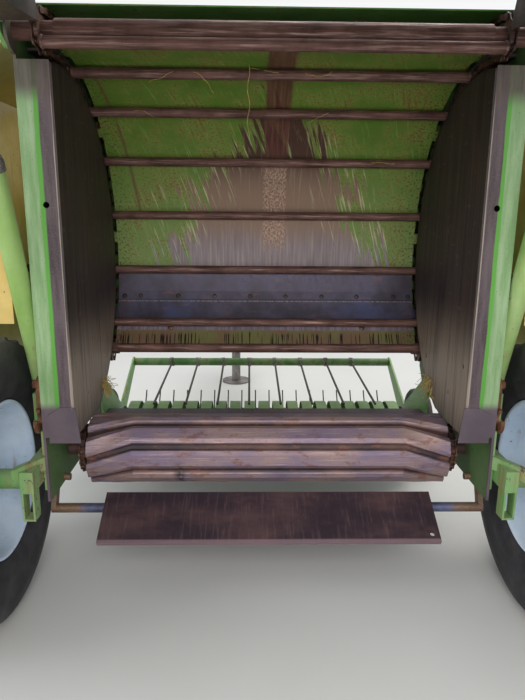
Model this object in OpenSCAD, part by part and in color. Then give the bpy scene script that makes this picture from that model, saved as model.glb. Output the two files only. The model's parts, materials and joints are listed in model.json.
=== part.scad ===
// Round baler with a fixed bale chamber and a slat-and-chain conveyor, tailgate raised.
// +Y points the way the machine is towed, +X to its right, and the ground is at z = 0.

/* [Bale chamber] */
// Clear width between the inner side discs
chamber_w = 1200; // [1000:10:1300]
// Radius of the circle that the slats follow
slat_run_r = 580; // [560:5:590]
// Height of the chamber centre above the ground
chamber_z = 1068; // [1040:2:1110]
// Place of the chamber centre along the machine
chamber_y = -710; // [-740:5:-680]
// Radius of the dark inner side discs
disc_r = 555; // [530:1:560]
// Distance of the seam plane behind the chamber centre
seam_back = 110; // [90:2:130]
// Height where the inner discs are cut off above the feed roller
disc_foot_z = 543; // [541:1:570]

/* [Sheet metal] */
// Thickness of the inner side discs
disc_t = 6; // [4:1:8]
// Gap between an inner disc and the outer side plate
side_gap = 86; // [80:2:110]
// Thickness of the outer side plates
plate_t = 8; // [6:1:10]
// Thickness of the curved sheets
sheet_t = 4; // [2:1:5]
// Rim of the side plates beyond the outer cover
rim_over = 11; // [8:1:20]

/* [Slat conveyor] */
// Pitch radius of the conveyor sprockets
sprocket_r = 50; // [44:1:54]
// Diameter of a slat tube
slat_d = 32; // [24:1:34]
// Number of slats on the front inner run
front_slats = 6; // [4:1:6]
// Angle between two slats on the inner run
slat_step = 21.2; // [20.4:0.2:21.8]
// Direction of the first slat below the pivot shaft
slat_first = 77.6; // [76:0.2:80]
// Height of the chain plates
chain_h = 22; // [16:1:24]
// Width of a chain strand
chain_t = 20; // [14:1:22]
// Distance from an inner disc to its chain strand
chain_off = 12; // [9:1:14]

/* [Feed roller] */
// Radius over the ribs of the feed roller
roller_r = 120; // [112:1:122]
// Radius between the ribs
roller_core_r = 104; // [96:1:108]
// Number of ribs
roller_ribs = 8; // [6:1:10]
// Length of each bent end of the ribs
roller_bend = 150; // [100:5:200]
// Turn of the ribs over a bent end
roller_turn = 24; // [10:1:30]
// Place of the roller axis ahead of the chamber centre
roller_y = 121; // [115:1:140]
// Height of the roller axis
roller_z = 418; // [410:1:420]

/* [Wheels] */
// Radius of the road wheels
tyre_r = 430; // [410:5:440]
// Width of a road tyre
tyre_w = 290; // [240:5:300]
// Radius of the rim
rim_r = 240; // [225:5:245]
// Gap between a side plate and its tyre
tyre_gap = 80; // [76:2:115]
// Distance of the axle behind the chamber centre
axle_back = 156; // [150:2:170]

/* [Drawbar] */
// Distance from the chamber centre to the towing eye
eye_y = 2790; // [2700:10:2900]
// Height of the towing eye
eye_z = 500; // [480:5:520]
// Bore of the towing eye
eye_bore = 50; // [40:1:60]
// Distance of the jack ahead of the chamber centre
jack_y = 2414; // [2380:5:2450]

/* [Pickup] */
// Radius that the tine tips sweep
tine_r = 200; // [185:1:205]
// Distance between neighbouring tines
tine_pitch = 66; // [60:1:72]
// Number of tine bars
tine_bars = 4; // [3:1:5]
// Radius of a pickup gauge wheel
gauge_r = 160; // [150:5:165]

/* [Tailgate] */
// How far the tailgate stands open
gate_open = 85; // [80:1:88]

/* [Hidden] */
$fn = 96;

disc_x = chamber_w / 2;
wall_x = disc_x + disc_t + side_gap;
skin_x = wall_x + plate_t;
track_half = skin_x + tyre_gap + tyre_w / 2;
strand_x = disc_x + chain_off;
return_r = slat_run_r + 2 * sprocket_r;
mid_r = slat_run_r + sprocket_r;
cover_r = return_r + slat_d / 2 + 5;
wall_r = cover_r + sheet_t + rim_over;
sheet_r = slat_run_r + slat_d / 2 + 6;
pivot_y = -seam_back;
pivot_z = chamber_z + sqrt(mid_r * mid_r - seam_back * seam_back);
pivot_dir = atan2(pivot_z - chamber_z, pivot_y);
lower_dir = -36.9;
tail_dir = 252;
shaft_r = 25;
// Radius of the lower shaft between the inner discs
shaft_mid_r = 20;
// The chain lies on a sprocket in flat links, so the disc is as large as fits under them.
wrap_links = 6;
sprocket_disc_r = (sprocket_r - chain_h / 2) * cos(90 / wrap_links) - 0.3;
run_gap = 8;
// Highest point of the rear flange, under the conveyor's wrap round the pivot
flange_top = pivot_z - sprocket_r - chain_h / 2 - run_gap;
flange_foot_t = 4;
foot_plate_z = [527, 641];
fit = 0.1;
pivot_tube_r = sprocket_r - slat_d / 2 - 3;

green = [0.36, 0.62, 0.24];
bright = [0.45, 0.74, 0.32];
dark = [0.20, 0.17, 0.18];
rust = [0.42, 0.28, 0.23];
ochre = [0.80, 0.68, 0.36];
steel = [0.55, 0.55, 0.57];
rubber = [0.10, 0.10, 0.11];

// Puts what is drawn about the chamber's own axis on the machine.
module placed() translate([0, chamber_y, 0]) children();

// A side profile drawn as [y, z], drawn out along X from x0 to x1.
module across(x0, x1) translate([x0, 0, 0]) rotate([90, 0, 90]) linear_extrude(x1 - x0) children();

module rod_x(y, z, r, x0, x1) translate([x0, y, z]) rotate([0, 90, 0]) cylinder(r = r, h = x1 - x0);

module box(x0, x1, y0, y1, z0, z1) translate([x0, y0, z0]) cube([x1 - x0, y1 - y0, z1 - z0]);

module on_side(s) if (s > 0) children(); else mirror([1, 0, 0]) children();

function polar(r, a) = [r * cos(a), r * sin(a)];
function about(c, r, a) = [c[0] + r * cos(a), c[1] + r * sin(a)];
centre = [0, chamber_z];
pivot = [pivot_y, pivot_z];
lower = about(centre, mid_r, lower_dir);
tail = about(centre, mid_r, tail_dir);

// Curved strip about the chamber axis between two radii and two directions.
module arc_strip(r0, r1, a0, a1, n = 24) {
    translate(centre) intersection() {
        difference() {
            circle(r = r1);
            circle(r = r0);
        }
        polygon(concat([[0, 0]], [for (i = [0:n / 4]) polar(r1 * 1.6, a0 + (a1 - a0) * i / (n / 4))]));
    }
}

// Turns the closed tailgate to the open place in which it is stored.
module raised() translate([0, pivot_y, pivot_z]) rotate([-gate_open, 0, 0])
    translate([0, -pivot_y, -pivot_z]) children();

// Outline of the fixed side plates.
module wall_outline() {
    intersection() {
        translate(centre) circle(r = wall_r);
        translate([-seam_back, chamber_z - 500]) square([900, 1300]);
    }
    translate(pivot) circle(r = 58);
    polygon([[-seam_back, 330], [210, 330], [330, 420], [520, 470], [640, 470],
        [front_y - 30, 560], [front_y, 690], [front_y, 780], [front_y - 60, 900], [300, 1000],
        [-seam_back, 1000]]);
}

module side_wall(s) color(green) placed() on_side(s) {
    difference() {
        across(wall_x, skin_x) wall_outline();
        rod_x(pivot_y, pivot_z, shaft_r, wall_x - 1, skin_x + 1);
        rod_x(lower[0], lower[1], shaft_r, wall_x - 1, skin_x + 1);
        rod_x(roller_y, roller_z, shaft_r + fit, wall_x - 1, skin_x + 1);
        rod_x(ramp_pivot[0], ramp_pivot[1], ramp_pin_r + fit, wall_x - 1, skin_x + 1);
        rod_x(pickup_pivot[0], pickup_pivot[1], 15 + fit, wall_x - 1, skin_x + 1);
    }
    difference() {
        union() {
            box(disc_x + disc_t, wall_x, -seam_back, -seam_back + 6, disc_foot_z, flange_top);
            translate([0, -seam_back, 0]) rotate([90, 0, 0]) linear_extrude(flange_foot_t)
                polygon([[disc_x - 16, foot_plate_z[0]], [wall_x - 12, foot_plate_z[0]],
                    [wall_x - 12, foot_plate_z[1] - 24], [wall_x - 50, foot_plate_z[1]],
                    [disc_x - 4, foot_plate_z[1]]]);
        }
        translate([disc_x + 40, -seam_back - 1, 1240]) rotate([-90, 0, 0]) cylinder(r = 9, h = 8);
    }
    for (y = hood_lugs) difference() {
        translate([0, y + hood_lug_t, 0]) rotate([90, 0, 0]) linear_extrude(hood_lug_t) {
            polygon([[skin_x, hood_pin[1] - 60], [skin_x, hood_pin[1] - 5],
                [hood_pin[0] - 8, hood_pin[1] + 14], [hood_pin[0] + 12, hood_pin[1] - 10]]);
            translate(hood_pin) circle(r = 16);
        }
        translate([hood_pin[0], y + 20, hood_pin[1]]) rotate([90, 0, 0]) cylinder(r = 8 + fit, h = 40);
    }
}

module chamber_disc(s) color(dark) placed() on_side(s) {
    difference() {
        across(disc_x, disc_x + disc_t) intersection() {
            translate(centre) circle(r = disc_r);
            translate([-seam_back, disc_foot_z]) square([800, 1200]);
        }
        for (p = [[60, 640], [330, 700], [-60, 760]]) rod_x(p[0], p[1], 8, disc_x - 1, disc_x + disc_t + 1);
    }
    for (p = [[120, 1330], [390, 1068], [160, 760]]) rod_x(p[0], p[1], 25, disc_x + disc_t, wall_x);
}

module front_sheet() color(green) placed() {
    across(-disc_x + 2, disc_x - 2) arc_strip(sheet_r, sheet_r + sheet_t, -17.6, 97);
    across(-disc_x + 2, disc_x - 2) arc_strip(sheet_r - 3, sheet_r, -36.5, -15.5);
    for (a = [84, 45, 5, -24])
        across(-wall_x, wall_x) translate(centre) rotate(a) translate([sheet_r + sheet_t, -20])
            square([34, 40]);
}

module front_cover() color(green) placed()
    across(-wall_x, wall_x) arc_strip(cover_r, cover_r + sheet_t, -34, 95);

module chain_guides() color(dark) placed() for (s = [-1, 1]) on_side(s)
    across(strand_x, wall_x) arc_strip(slat_run_r + chain_h / 2 + 0.3, sheet_r, -28, 92);

module pivot_shaft() color(dark) placed() {
    rod_x(pivot_y, pivot_z, shaft_r, -skin_x - 24, skin_x + 24);
    rod_x(pivot_y, pivot_z, pivot_tube_r, -disc_x + 20, disc_x - 20);
    for (s = [-1, 1]) on_side(s)
        rod_x(pivot_y, pivot_z, sprocket_disc_r, strand_x + 4, strand_x + chain_t - 4);
}

module lower_shaft() color(dark) placed() {
    rod_x(lower[0], lower[1], shaft_mid_r, -disc_x + 10, disc_x - 10);
    rod_x(lower[0], lower[1], shaft_r, -skin_x - 34, -disc_x + 10);
    rod_x(lower[0], lower[1], shaft_r, disc_x - 10, skin_x + 10);
    for (s = [-1, 1]) on_side(s)
        rod_x(lower[0], lower[1], sprocket_disc_r, strand_x + 4, strand_x + chain_t - 4);
}

// Points of an arc about c, from direction a0 to a1, in n equal steps without the last.
function arc_pts(c, r, a0, a1, n) = [for (i = [0:n - 1]) about(c, r, a0 + (a1 - a0) * i / n)];

// The front loop: inner run down, round the lower sprocket, return run up, round the pivot sprocket.
function front_loop(d) = concat(
    arc_pts(centre, slat_run_r - d, pivot_dir, lower_dir, 27),
    arc_pts(lower, sprocket_r + d, lower_dir + 180, lower_dir + 360, wrap_links),
    arc_pts(centre, return_r + d, lower_dir, pivot_dir, 30),
    arc_pts(pivot, sprocket_r + d, pivot_dir, pivot_dir + 180, wrap_links));

// The chain's pitch is one length, so slats on the longer return run stand at a smaller angle.
return_step = slat_step * slat_run_r / return_r;

// Each slat is a tube of its own, held between the two strands.
module slat_at(c, r, a)
    rod_x(about(c, r, a)[0], about(c, r, a)[1], slat_d / 2, -strand_x + 0.2, strand_x - 0.2);

module slat_chain_front() color(rust) placed() {
    for (s = [-1, 1]) on_side(s) across(strand_x, strand_x + chain_t) difference() {
        polygon(front_loop(chain_h / 2));
        polygon(front_loop(-chain_h / 2));
    }
    for (i = [0:front_slats - 1]) slat_at(centre, slat_run_r, slat_first - i * slat_step);
    slat_at(pivot, sprocket_r, -135);
    slat_at(lower, sprocket_r, 20);
    for (i = [0:front_slats]) slat_at(centre, return_r, -25 + i * return_step);
}

module throat_floor() color(dark) placed() {
    across(-pickup_x + 8, pickup_x - 8) polygon([[262, 408], [596, 396], [596, 401], [262, 413]]);
    across(-wall_x, wall_x) polygon([[262, 408], [430, 402], [430, 407], [262, 413]]);
}

hood_x = skin_x + 248;
hood_y = [-60, 640];
hood_z = [700, 1600];
hood_pin = [skin_x + 52, 1700];
hood_lugs = [-20, 296];
hood_lug_t = 16;
// Middles of the upright pressings in the hoods' outer sheet
hood_presses = [130, 330, 530];
cyl_x = skin_x + 35;
cyl_base = [46, 623];
cyl_eye = [-409, 1841 - 20];
cyl_len = norm(cyl_eye - cyl_base);
cyl_lean = atan2(-(cyl_eye[0] - cyl_base[0]), cyl_eye[1] - cyl_base[1]);
// Hydraulic port of a lift cylinder: its distance from the foot pin and from the cylinder's axis
port_at = 96;
port_reach = 44;
port_way = [0, cos(cyl_lean), sin(cyl_lean)];
port_face = [cyl_x, cyl_base[0] - port_at * sin(cyl_lean), cyl_base[1] + port_at * cos(cyl_lean)]
    + port_reach * port_way;
axle_y = -axle_back;
axle_z = tyre_r;
axle_box_w = 50;
stub_r = 30;
ramp_pivot = [40, 345];
ramp_pin_r = 12;
pickup_pivot = [560, 520];

module axle(s) color(green) placed() on_side(s) {
    difference() {
        union() {
            box(skin_x, skin_x + 10, -100, 90, 364, 560);
            box(skin_x + 10, skin_x + axle_box_w, axle_y - 40, 90, axle_z - 32, axle_z + 36);
            box(skin_x, cyl_x + 32, 0, 92, 548, 560);
            box(cyl_x - 31, cyl_x - 21, 8, 84, 560, cyl_base[1] + 26);
            box(cyl_x + 21, cyl_x + 31, 8, 84, 560, cyl_base[1] + 26);
            rod_x(axle_y, axle_z, stub_r, skin_x + axle_box_w, track_half + 20);
            translate([0, 50, 0]) rotate([90, 0, 0]) linear_extrude(8)
                polygon([[cyl_x - 14, 436], [cyl_x + 10, 436], [cyl_x + 26, 548], [cyl_x - 22, 548]]);
            hull() {
                box(skin_x, skin_x + 6, -112, -84, 438, 480);
                box(skin_x + 62, skin_x + 68, -206, -178, 436, 478);
            }
            box(skin_x + 12, skin_x + 18, axle_y - 36, axle_y + 10, 306, axle_z - 30);
            box(skin_x + axle_box_w - 6, skin_x + axle_box_w, axle_y - 36, axle_y + 10, 306, axle_z - 30);
            box(skin_x + 12, skin_x + axle_box_w, axle_y - 36, axle_y + 10, 306, 312);
        }
        rod_x(cyl_base[0], cyl_base[1], 15 + fit, cyl_x - 40, cyl_x + 40);
    }
}

module latch_hooks() color(rust) placed() for (s = [-1, 1]) on_side(s) {
    rod_x(-55, 700, 14, skin_x, skin_x + 26);
    across(skin_x + 10, skin_x + 22) difference() {
        union() {
            translate([-80, 590]) square([36, 110]);
            translate([-55, 700]) circle(r = 26);
            translate([-84, 590]) circle(r = 40);
        }
        translate([-96, 600]) circle(r = 18);
        translate([-140, 600]) square([44, 60]);
    }
}

beam_z = [690, 770];
beam_clear = 11;
beam_y = sqrt(pow(cover_r + sheet_t, 2) - pow(chamber_z - beam_z[1], 2)) + beam_clear;
front_y = beam_y + 100;
beam = [beam_y, front_y, beam_z[0], beam_z[1]];
arm_h = 80;
arm_z = 540;
post_x = 450;
arm_end = eye_y - 470;

module drawbar() color(green) placed() {
    box(-wall_x, wall_x, beam[0], beam[1], beam[2], beam[3]);
    for (s = [-1, 1]) on_side(s) hull() {
        box(disc_x - 40, disc_x + 50, front_y, front_y + 10, beam_z[0] + 6, beam_z[1]);
        box(0, 60, arm_end - 120, arm_end, arm_z, arm_z + arm_h);
    }
    box(-50, 50, arm_end - 120, eye_y - 110, arm_z, arm_z + arm_h);
    box(-30, 30, eye_y - 260, eye_y - 40, eye_z - 18, arm_z);
    difference() {
        translate([0, eye_y, eye_z - 18]) cylinder(r = 62, h = 36);
        translate([0, eye_y, eye_z - 30]) cylinder(r = eye_bore / 2, h = 60);
    }
    for (s = [-1, 1]) box(s * post_x - 25, s * post_x + 25, front_y - 38, front_y, beam_z[1], box_z[0]);
}

jack_x = -165;
jack_leg_r = 31;

module jack_sleeve() color(green) placed() {
    difference() {
        translate([jack_x, jack_y, 380]) cylinder(r = 42, h = 330);
        translate([jack_x, jack_y, 370]) cylinder(r = jack_leg_r + 1, h = 350);
    }
    box(jack_x + 40, -50, jack_y - 30, jack_y + 30, arm_z + 5, arm_z + arm_h - 5);
}

module jack_leg() color(steel) placed() {
    translate([jack_x, jack_y, 12]) cylinder(r = jack_leg_r, h = 740);
    translate([jack_x, jack_y, 0]) cylinder(r = 100, h = 12);
}

gear_half = 130;
gear_len = 210;
gear_z = 820;
shaft_start = front_y + gear_len + 90;
shaft_slope = 4;
guard_len = eye_y - shaft_start - 290;

module gearbox() color(green) placed() {
    box(-gear_half, gear_half, front_y, front_y + gear_len, gear_z - 120, gear_z + 120);
    rod_x(front_y + 100, gear_z, 30, -skin_x - 60, -gear_half);
    for (s = [-1, 1]) on_side(s) rod_x(front_y + 100, gear_z, 78, gear_half, gear_half + 18);
    box(-gear_half + 16, gear_half - 16, front_y + 16, front_y + gear_len - 16, gear_z + 120, gear_z + 134);
    translate([0, front_y + gear_len, gear_z]) rotate([-90, 0, 0]) cylinder(r = 70, h = 30);
    translate([0, front_y + gear_len + 30, gear_z]) rotate([-90, 0, 0]) cylinder(r = 18, h = 60);
}

module pto_shaft() color(rubber) placed() {
    translate([0, shaft_start, gear_z]) rotate([-90, 0, 0]) cylinder(r = 36, h = 60);
    translate([0, shaft_start + 30, gear_z]) rotate([-90 - shaft_slope, 0, 0]) {
        cylinder(r1 = 85, r2 = 60, h = 130);
        translate([0, 0, 130]) cylinder(r = 46, h = guard_len - 250);
        translate([0, 0, guard_len - 120]) cylinder(r1 = 60, r2 = 85, h = 120);
        translate([0, 0, guard_len]) cylinder(r = 36, h = 80);
    }
}

drive_wheels = [[front_y + 100, gear_z, 30, 90], [lower[0], lower[1], shaft_r, 62]];

// Outline of a chain run tight round the two drive sprockets, moved out by d.
module belt(d) {
    a = drive_wheels[0];
    b = drive_wheels[1];
    way = atan2(b[1] - a[1], b[0] - a[0]);
    off = acos((a[3] - b[3]) / norm([b[0] - a[0], b[1] - a[1]]));
    polygon(concat(
        arc_pts([a[0], a[1]], a[3] + d, way + off, way - off + 360, 14), [about(a, a[3] + d, way - off)],
        arc_pts([b[0], b[1]], b[3] + d, way - off, way + off, 18), [about(b, b[3] + d, way + off)]));
}

module drive_chain() color(rust) placed() on_side(-1) {
    // Columns: y and z of the shaft, shaft radius, pitch radius
    for (p = drive_wheels) difference() {
        rod_x(p[0], p[1], p[3] - 9.8, skin_x + 16, skin_x + 26);
        rod_x(p[0], p[1], p[2], skin_x, skin_x + 40);
    }
    across(skin_x + 12, skin_x + 30) difference() {
        belt(9);
        belt(-9);
    }
}

box_y = [front_y - 38, front_y + 250];
box_z = [1000, 1450];
box_w = 560;
lid_hinge = [box_y[0] - 8, box_z[1] + 4];
lid_hinge_r = 7;

module twine_box() color(ochre) placed() difference() {
    box(-box_w, box_w, box_y[0], box_y[1], box_z[0], box_z[1]);
    box(-box_w + 4, box_w - 4, box_y[0] + 4, box_y[1] - 4, box_z[0] + 4, box_z[1] + 1);
}

module twine_lid() color(ochre) placed() {
    box(-box_w - 8, box_w + 8, lid_hinge[0], box_y[1] + 10, box_z[1] + 0.3, box_z[1] + 8);
    rod_x(lid_hinge[0], lid_hinge[1], lid_hinge_r, -box_w + 60, box_w - 60);
}

// A tube swept along a list of points with eight sides.
function unit(v) = v / norm(v);
function tangent(p, i) = unit(p[min(i + 1, len(p) - 1)] - p[max(i - 1, 0)]);
function ring(p, i, r, n) = let (t = tangent(p, i), u = unit(cross(t, [0.31, 0.9, 0.2])), v = cross(t, u))
    [for (k = [0:n - 1]) p[i] + r * (u * cos(360 * k / n) + v * sin(360 * k / n))];
module swept(p, r, n = 8) {
    m = len(p);
    polyhedron(
        points = [for (i = [0:m - 1]) each ring(p, i, r, n)],
        faces = concat(
            [[for (k = [0:n - 1]) k]],
            [for (i = [0:m - 2], k = [0:n - 1])
                [i * n + k, (i + 1) * n + k, (i + 1) * n + (k + 1) % n, i * n + (k + 1) % n]],
            [[for (k = [n - 1:-1:0]) (m - 1) * n + k]]));
}

// Route of a hydraulic hose: out of the side plate, down in a wide bend and into the lift cylinder's port.
// Columns: distance out from the side plate, place ahead of the chamber centre, height
hose_bend = [[0.3, 180, 1070], [16, 180, 1070], [41, 180, 1068], [66, 180, 1062], [89, 180, 1052],
    [109, 180, 1036], [125, 180, 1017], [137, 180, 994], [143, 179, 969], [144, 176, 944], [140, 172, 919],
    [131, 169, 896], [119, 167, 873], [106, 164, 851], [91, 160, 831], [77, 154, 811], [63, 144, 791],
    [51, 131, 774], [42, 113, 758], [37, 92, 745]];
hose_route = concat([for (p = hose_bend) [skin_x + p[0], p[1], p[2]]],
    [port_face + 16 * port_way, port_face + 0.6 * port_way]);

module hose(s) color(rubber) placed() on_side(s) swept(hose_route, 9);

// Section of the roller: broad rounded ribs with narrow grooves between them.
module ribbed(r0, r1, n) {
    // Columns: way round as a share of one rib, radius
    rib = [[-0.35, r1 - 6], [-0.2, r1], [0.2, r1], [0.35, r1 - 6], [0.43, r0], [0.57, r0]];
    polygon([for (i = [0:n - 1], p = rib) polar(p[1], 360 / n * (i + p[0]))]);
}

// The ribs run under the inner discs, and their ends bend down on the side that faces the bale.
roller_half = disc_x + 8;
roller_straight = roller_half - roller_bend;
roller_sprocket_r = 62;

module roller_end() translate([roller_straight, roller_y, roller_z]) rotate([90, 0, 90])
    linear_extrude(roller_bend, twist = -roller_turn, slices = 6) ribbed(roller_core_r, roller_r, roller_ribs);

module feed_roller() color(rust) placed() {
    translate([-roller_straight, roller_y, roller_z]) rotate([90, 0, 90])
        linear_extrude(2 * roller_straight) ribbed(roller_core_r, roller_r, roller_ribs);
    for (s = [-1, 1]) on_side(s) {
        roller_end();
        rod_x(roller_y, roller_z, shaft_r, roller_half, skin_x + 12);
        rod_x(roller_y, roller_z, roller_sprocket_r, roller_half + 8, roller_half + 14);
        rod_x(roller_y, roller_z, roller_sprocket_r + 12, roller_half + 14, roller_half + 32);
        rod_x(roller_y, roller_z, roller_sprocket_r, roller_half + 32, roller_half + 38);
    }
}

ramp_bar_r = 16;
// Inner face of the bar's two arms, which hang outside the side plates and their brackets
ramp_arm_x = skin_x + 11;
ramp_front = [28, 293];
ramp_tilt = 27.6;
ramp_len = 188;
ramp_w = 1100;
ramp_t = 8;
// The bar lies under the plate, a little way behind its front edge.
ramp_seat = [-45, -ramp_t - ramp_bar_r - 0.3];
ramp_bar_y = ramp_front[0] + ramp_seat[0] * cos(ramp_tilt) - ramp_seat[1] * sin(ramp_tilt);
ramp_bar_z = ramp_front[1] + ramp_seat[0] * sin(ramp_tilt) + ramp_seat[1] * cos(ramp_tilt);

module ramp_bar() color(dark) placed() {
    rod_x(ramp_bar_y, ramp_bar_z, ramp_bar_r, -ramp_arm_x - 8, ramp_arm_x + 8);
    for (s = [-1, 1]) on_side(s) {
        hull() {
            rod_x(ramp_bar_y, ramp_bar_z, ramp_bar_r, ramp_arm_x, ramp_arm_x + 16, $fn = 32);
            rod_x(ramp_pivot[0], ramp_pivot[1], ramp_bar_r, ramp_arm_x, ramp_arm_x + 16, $fn = 32);
        }
        rod_x(ramp_pivot[0], ramp_pivot[1], ramp_pin_r, wall_x - 20, ramp_arm_x + 9);
    }
}

module ramp_plate() color(dark) placed() translate([0, ramp_front[0], ramp_front[1]]) rotate([ramp_tilt, 0, 0]) {
    difference() {
        box(-ramp_w / 2, ramp_w / 2, -ramp_len, 0, -ramp_t, 0);
        translate([ramp_w / 2 - 24, -ramp_len + 24, -10]) cylinder(r = 8, h = 12);
    }
    box(-ramp_w / 2, ramp_w / 2, -ramp_len - 4, -ramp_len, -16, 0);
}

module tyre(s) color(rubber) placed() on_side(s) translate([track_half, axle_y, axle_z]) rotate([0, 90, 0])
    rotate_extrude() {
        w = tyre_w / 2;
        polygon([[rim_r + 0.2, -w * 0.8], [rim_r + 30, -w * 0.94], [rim_r + 90, -w], [tyre_r - 60, -w * 0.99],
            [tyre_r - 18, -w * 0.95], [tyre_r, -w * 0.8], [tyre_r, w * 0.8], [tyre_r - 18, w * 0.95],
            [tyre_r - 60, w * 0.99], [rim_r + 90, w], [rim_r + 30, w * 0.94], [rim_r + 0.2, w * 0.8]]);
    }

module rim(s) color("white") placed() on_side(s) translate([track_half, axle_y, axle_z]) rotate([0, 90, 0])
    rotate_extrude() {
        w = tyre_w / 2;
        polygon([[rim_r, -w * 0.86], [rim_r, w * 0.86], [rim_r - 14, w * 0.86], [rim_r - 20, w * 0.2],
            [rim_r - 60, 20], [110, 30], [62, 44], [62, 70], [stub_r + fit, 70], [stub_r + fit, -70], [62, -70],
            [62, 30], [110, 18], [rim_r - 62, 8], [rim_r - 30, -10], [rim_r - 14, -w * 0.86]]);
    }

// Region that the closed tailgate may fill, behind the seam and below the pivot.
module gate_region() difference() {
    translate([-1000, 300]) square([1000 - seam_back - run_gap, pivot_z - run_gap - 300]);
    translate(pivot) circle(r = 68);
}

gate_eye_closed = [pivot_y + (cyl_eye[0] - pivot_y) * cos(gate_open) - (cyl_eye[1] - pivot_z) * sin(gate_open),
    pivot_z + (cyl_eye[0] - pivot_y) * sin(gate_open) + (cyl_eye[1] - pivot_z) * cos(gate_open)];

// An ear beside the eye of the lift cylinder's rod, drawn on the closed tailgate.
module ear_outline() {
    translate(gate_eye_closed) circle(r = 40);
    translate(gate_eye_closed + [-86, -30]) square([80, 60]);
}

module tailgate_side(s) color(green) placed() raised() on_side(s) {
    across(wall_x, skin_x) intersection() {
        translate(centre) circle(r = wall_r);
        gate_region();
    }
    across(disc_x, disc_x + disc_t) intersection() {
        translate(centre) circle(r = disc_r);
        gate_region();
        translate([-900, disc_foot_z]) square([900, 1300]);
    }
    box(disc_x + disc_t, wall_x, -seam_back - run_gap - 6, -seam_back - run_gap, disc_foot_z, 1600);
    for (p = [[-200, 1330], [-390, 1068], [-200, 760]]) rod_x(p[0], p[1], 25, disc_x + disc_t, wall_x);
    difference() {
        union() {
            across(skin_x + 6, skin_x + 18) hull() {
                translate(pivot) circle(r = 45, $fn = 32);
                translate(pivot + [-90, -130]) circle(r = 35, $fn = 32);
            }
            across(skin_x, skin_x + 6) translate(pivot + [-90, -130]) circle(r = 34);
            across(skin_x, cyl_x - 25) ear_outline();
            across(cyl_x + 25, cyl_x + 35) ear_outline();
            across(skin_x, cyl_x + 35) translate(gate_eye_closed + [-86, -12]) square([20, 36]);
        }
        rod_x(pivot_y, pivot_z, shaft_r + fit, skin_x, skin_x + 30);
    }
}

module tailgate_sheets() color(green) placed() raised() {
    across(-wall_x, wall_x) arc_strip(cover_r, cover_r + sheet_t, 123, 250);
    across(-disc_x + 2, disc_x - 2) arc_strip(sheet_r, sheet_r + sheet_t, 109, 246);
}

module tailgate_beams() color(green) placed() raised()
    for (a = [130, 180, 230]) across(-wall_x, wall_x) translate(centre) rotate(a)
        translate([sheet_r + sheet_t, -20]) square([34, 40]);

// The tailgate's run, open at the pivot end.
function rear_run(d) = concat(
    arc_pts(centre, return_r + d, 121, tail_dir, 26),
    arc_pts(tail, sprocket_r + d, tail_dir, tail_dir + 180, wrap_links),
    arc_pts(centre, slat_run_r - d, tail_dir, pivot_dir + 6.4, 28),
    [about(centre, slat_run_r - d, pivot_dir + 6.4)]);

module slat_chain_rear() color(rust) placed() raised() {
    outer = rear_run(chain_h / 2);
    inner = rear_run(-chain_h / 2);
    n = len(outer);
    for (s = [-1, 1]) on_side(s) across(strand_x, strand_x + chain_t)
        polygon(concat(outer, [for (i = [n - 1:-1:0]) inner[i]]));
    for (i = [0:5]) slat_at(centre, slat_run_r, 124 + i * slat_step);
    for (i = [0:6]) slat_at(centre, return_r, 130 + i * 17.8);
}

module tail_shaft() color(dark) placed() raised() {
    rod_x(tail[0], tail[1], shaft_r, -wall_x, wall_x);
    for (s = [-1, 1]) on_side(s)
        rod_x(tail[0], tail[1], sprocket_disc_r, strand_x + 4, strand_x + chain_t - 4);
}

module along_cylinder(s) placed() on_side(s) translate([cyl_x, cyl_base[0], cyl_base[1]])
    rotate([cyl_lean, 0, 0]) children();

module barrel(s) color(bright) along_cylinder(s) {
    difference() {
        union() {
            translate([0, 0, 74]) cylinder(r = 30, h = 706);
            translate([0, 0, 58]) cylinder(r1 = 19, r2 = 30, h = 16.01);
            translate([0, 0, 20]) cylinder(r = 19, h = 40);
            translate([-18, 0, 0]) rotate([0, 90, 0]) cylinder(r = 30, h = 36);
        }
        translate([0, 0, 110]) cylinder(r = 21, h = 700);
    }
    translate([-32, 0, 0]) rotate([0, 90, 0]) cylinder(r = 15, h = 64);
    difference() {
        translate([0, 0, port_at]) rotate([-90, 0, 0]) cylinder(r = 13, h = port_reach);
        translate([0, 0, port_at - 20]) cylinder(r = 29, h = 40);
    }
}

module rod(s) color(steel) along_cylinder(s) {
    translate([0, 0, 600]) cylinder(r = 20, h = cyl_len - 600);
    translate([-20, 0, cyl_len]) rotate([0, 90, 0]) cylinder(r = 33, h = 40);
}

reel = [802, 240];
reel_bar_at = 82;
reel_bar_r = 11;
guard = [1244, 443];
// The windguard's wires, each between two rows of tines, and how far they slope down to their rear ends
guard_wires = 8;
guard_pitch = 136;
guard_reach = 644;
guard_dip = 2.05;
pickup_x = wall_x - 16;
gauge_x = pickup_x + 86;
gauge_at = [930, 225];
reel_half = pickup_x - 25;
stripper_r = 122;
stripper_low = -70;
stripper_bend = 102;
// The straight tails reach past the circle of the tine tips, so that their tube stays clear of it.
stripper_tail = tine_r + 12;
// Tube that carries the strippers, under the rear end of their straight tails
stripper_tube = about(about(about(reel, stripper_r - 3, stripper_bend), stripper_tail - 5, stripper_bend + 90),
    20.3, stripper_bend + 180);
tine_n = floor(chamber_w / tine_pitch);

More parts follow.
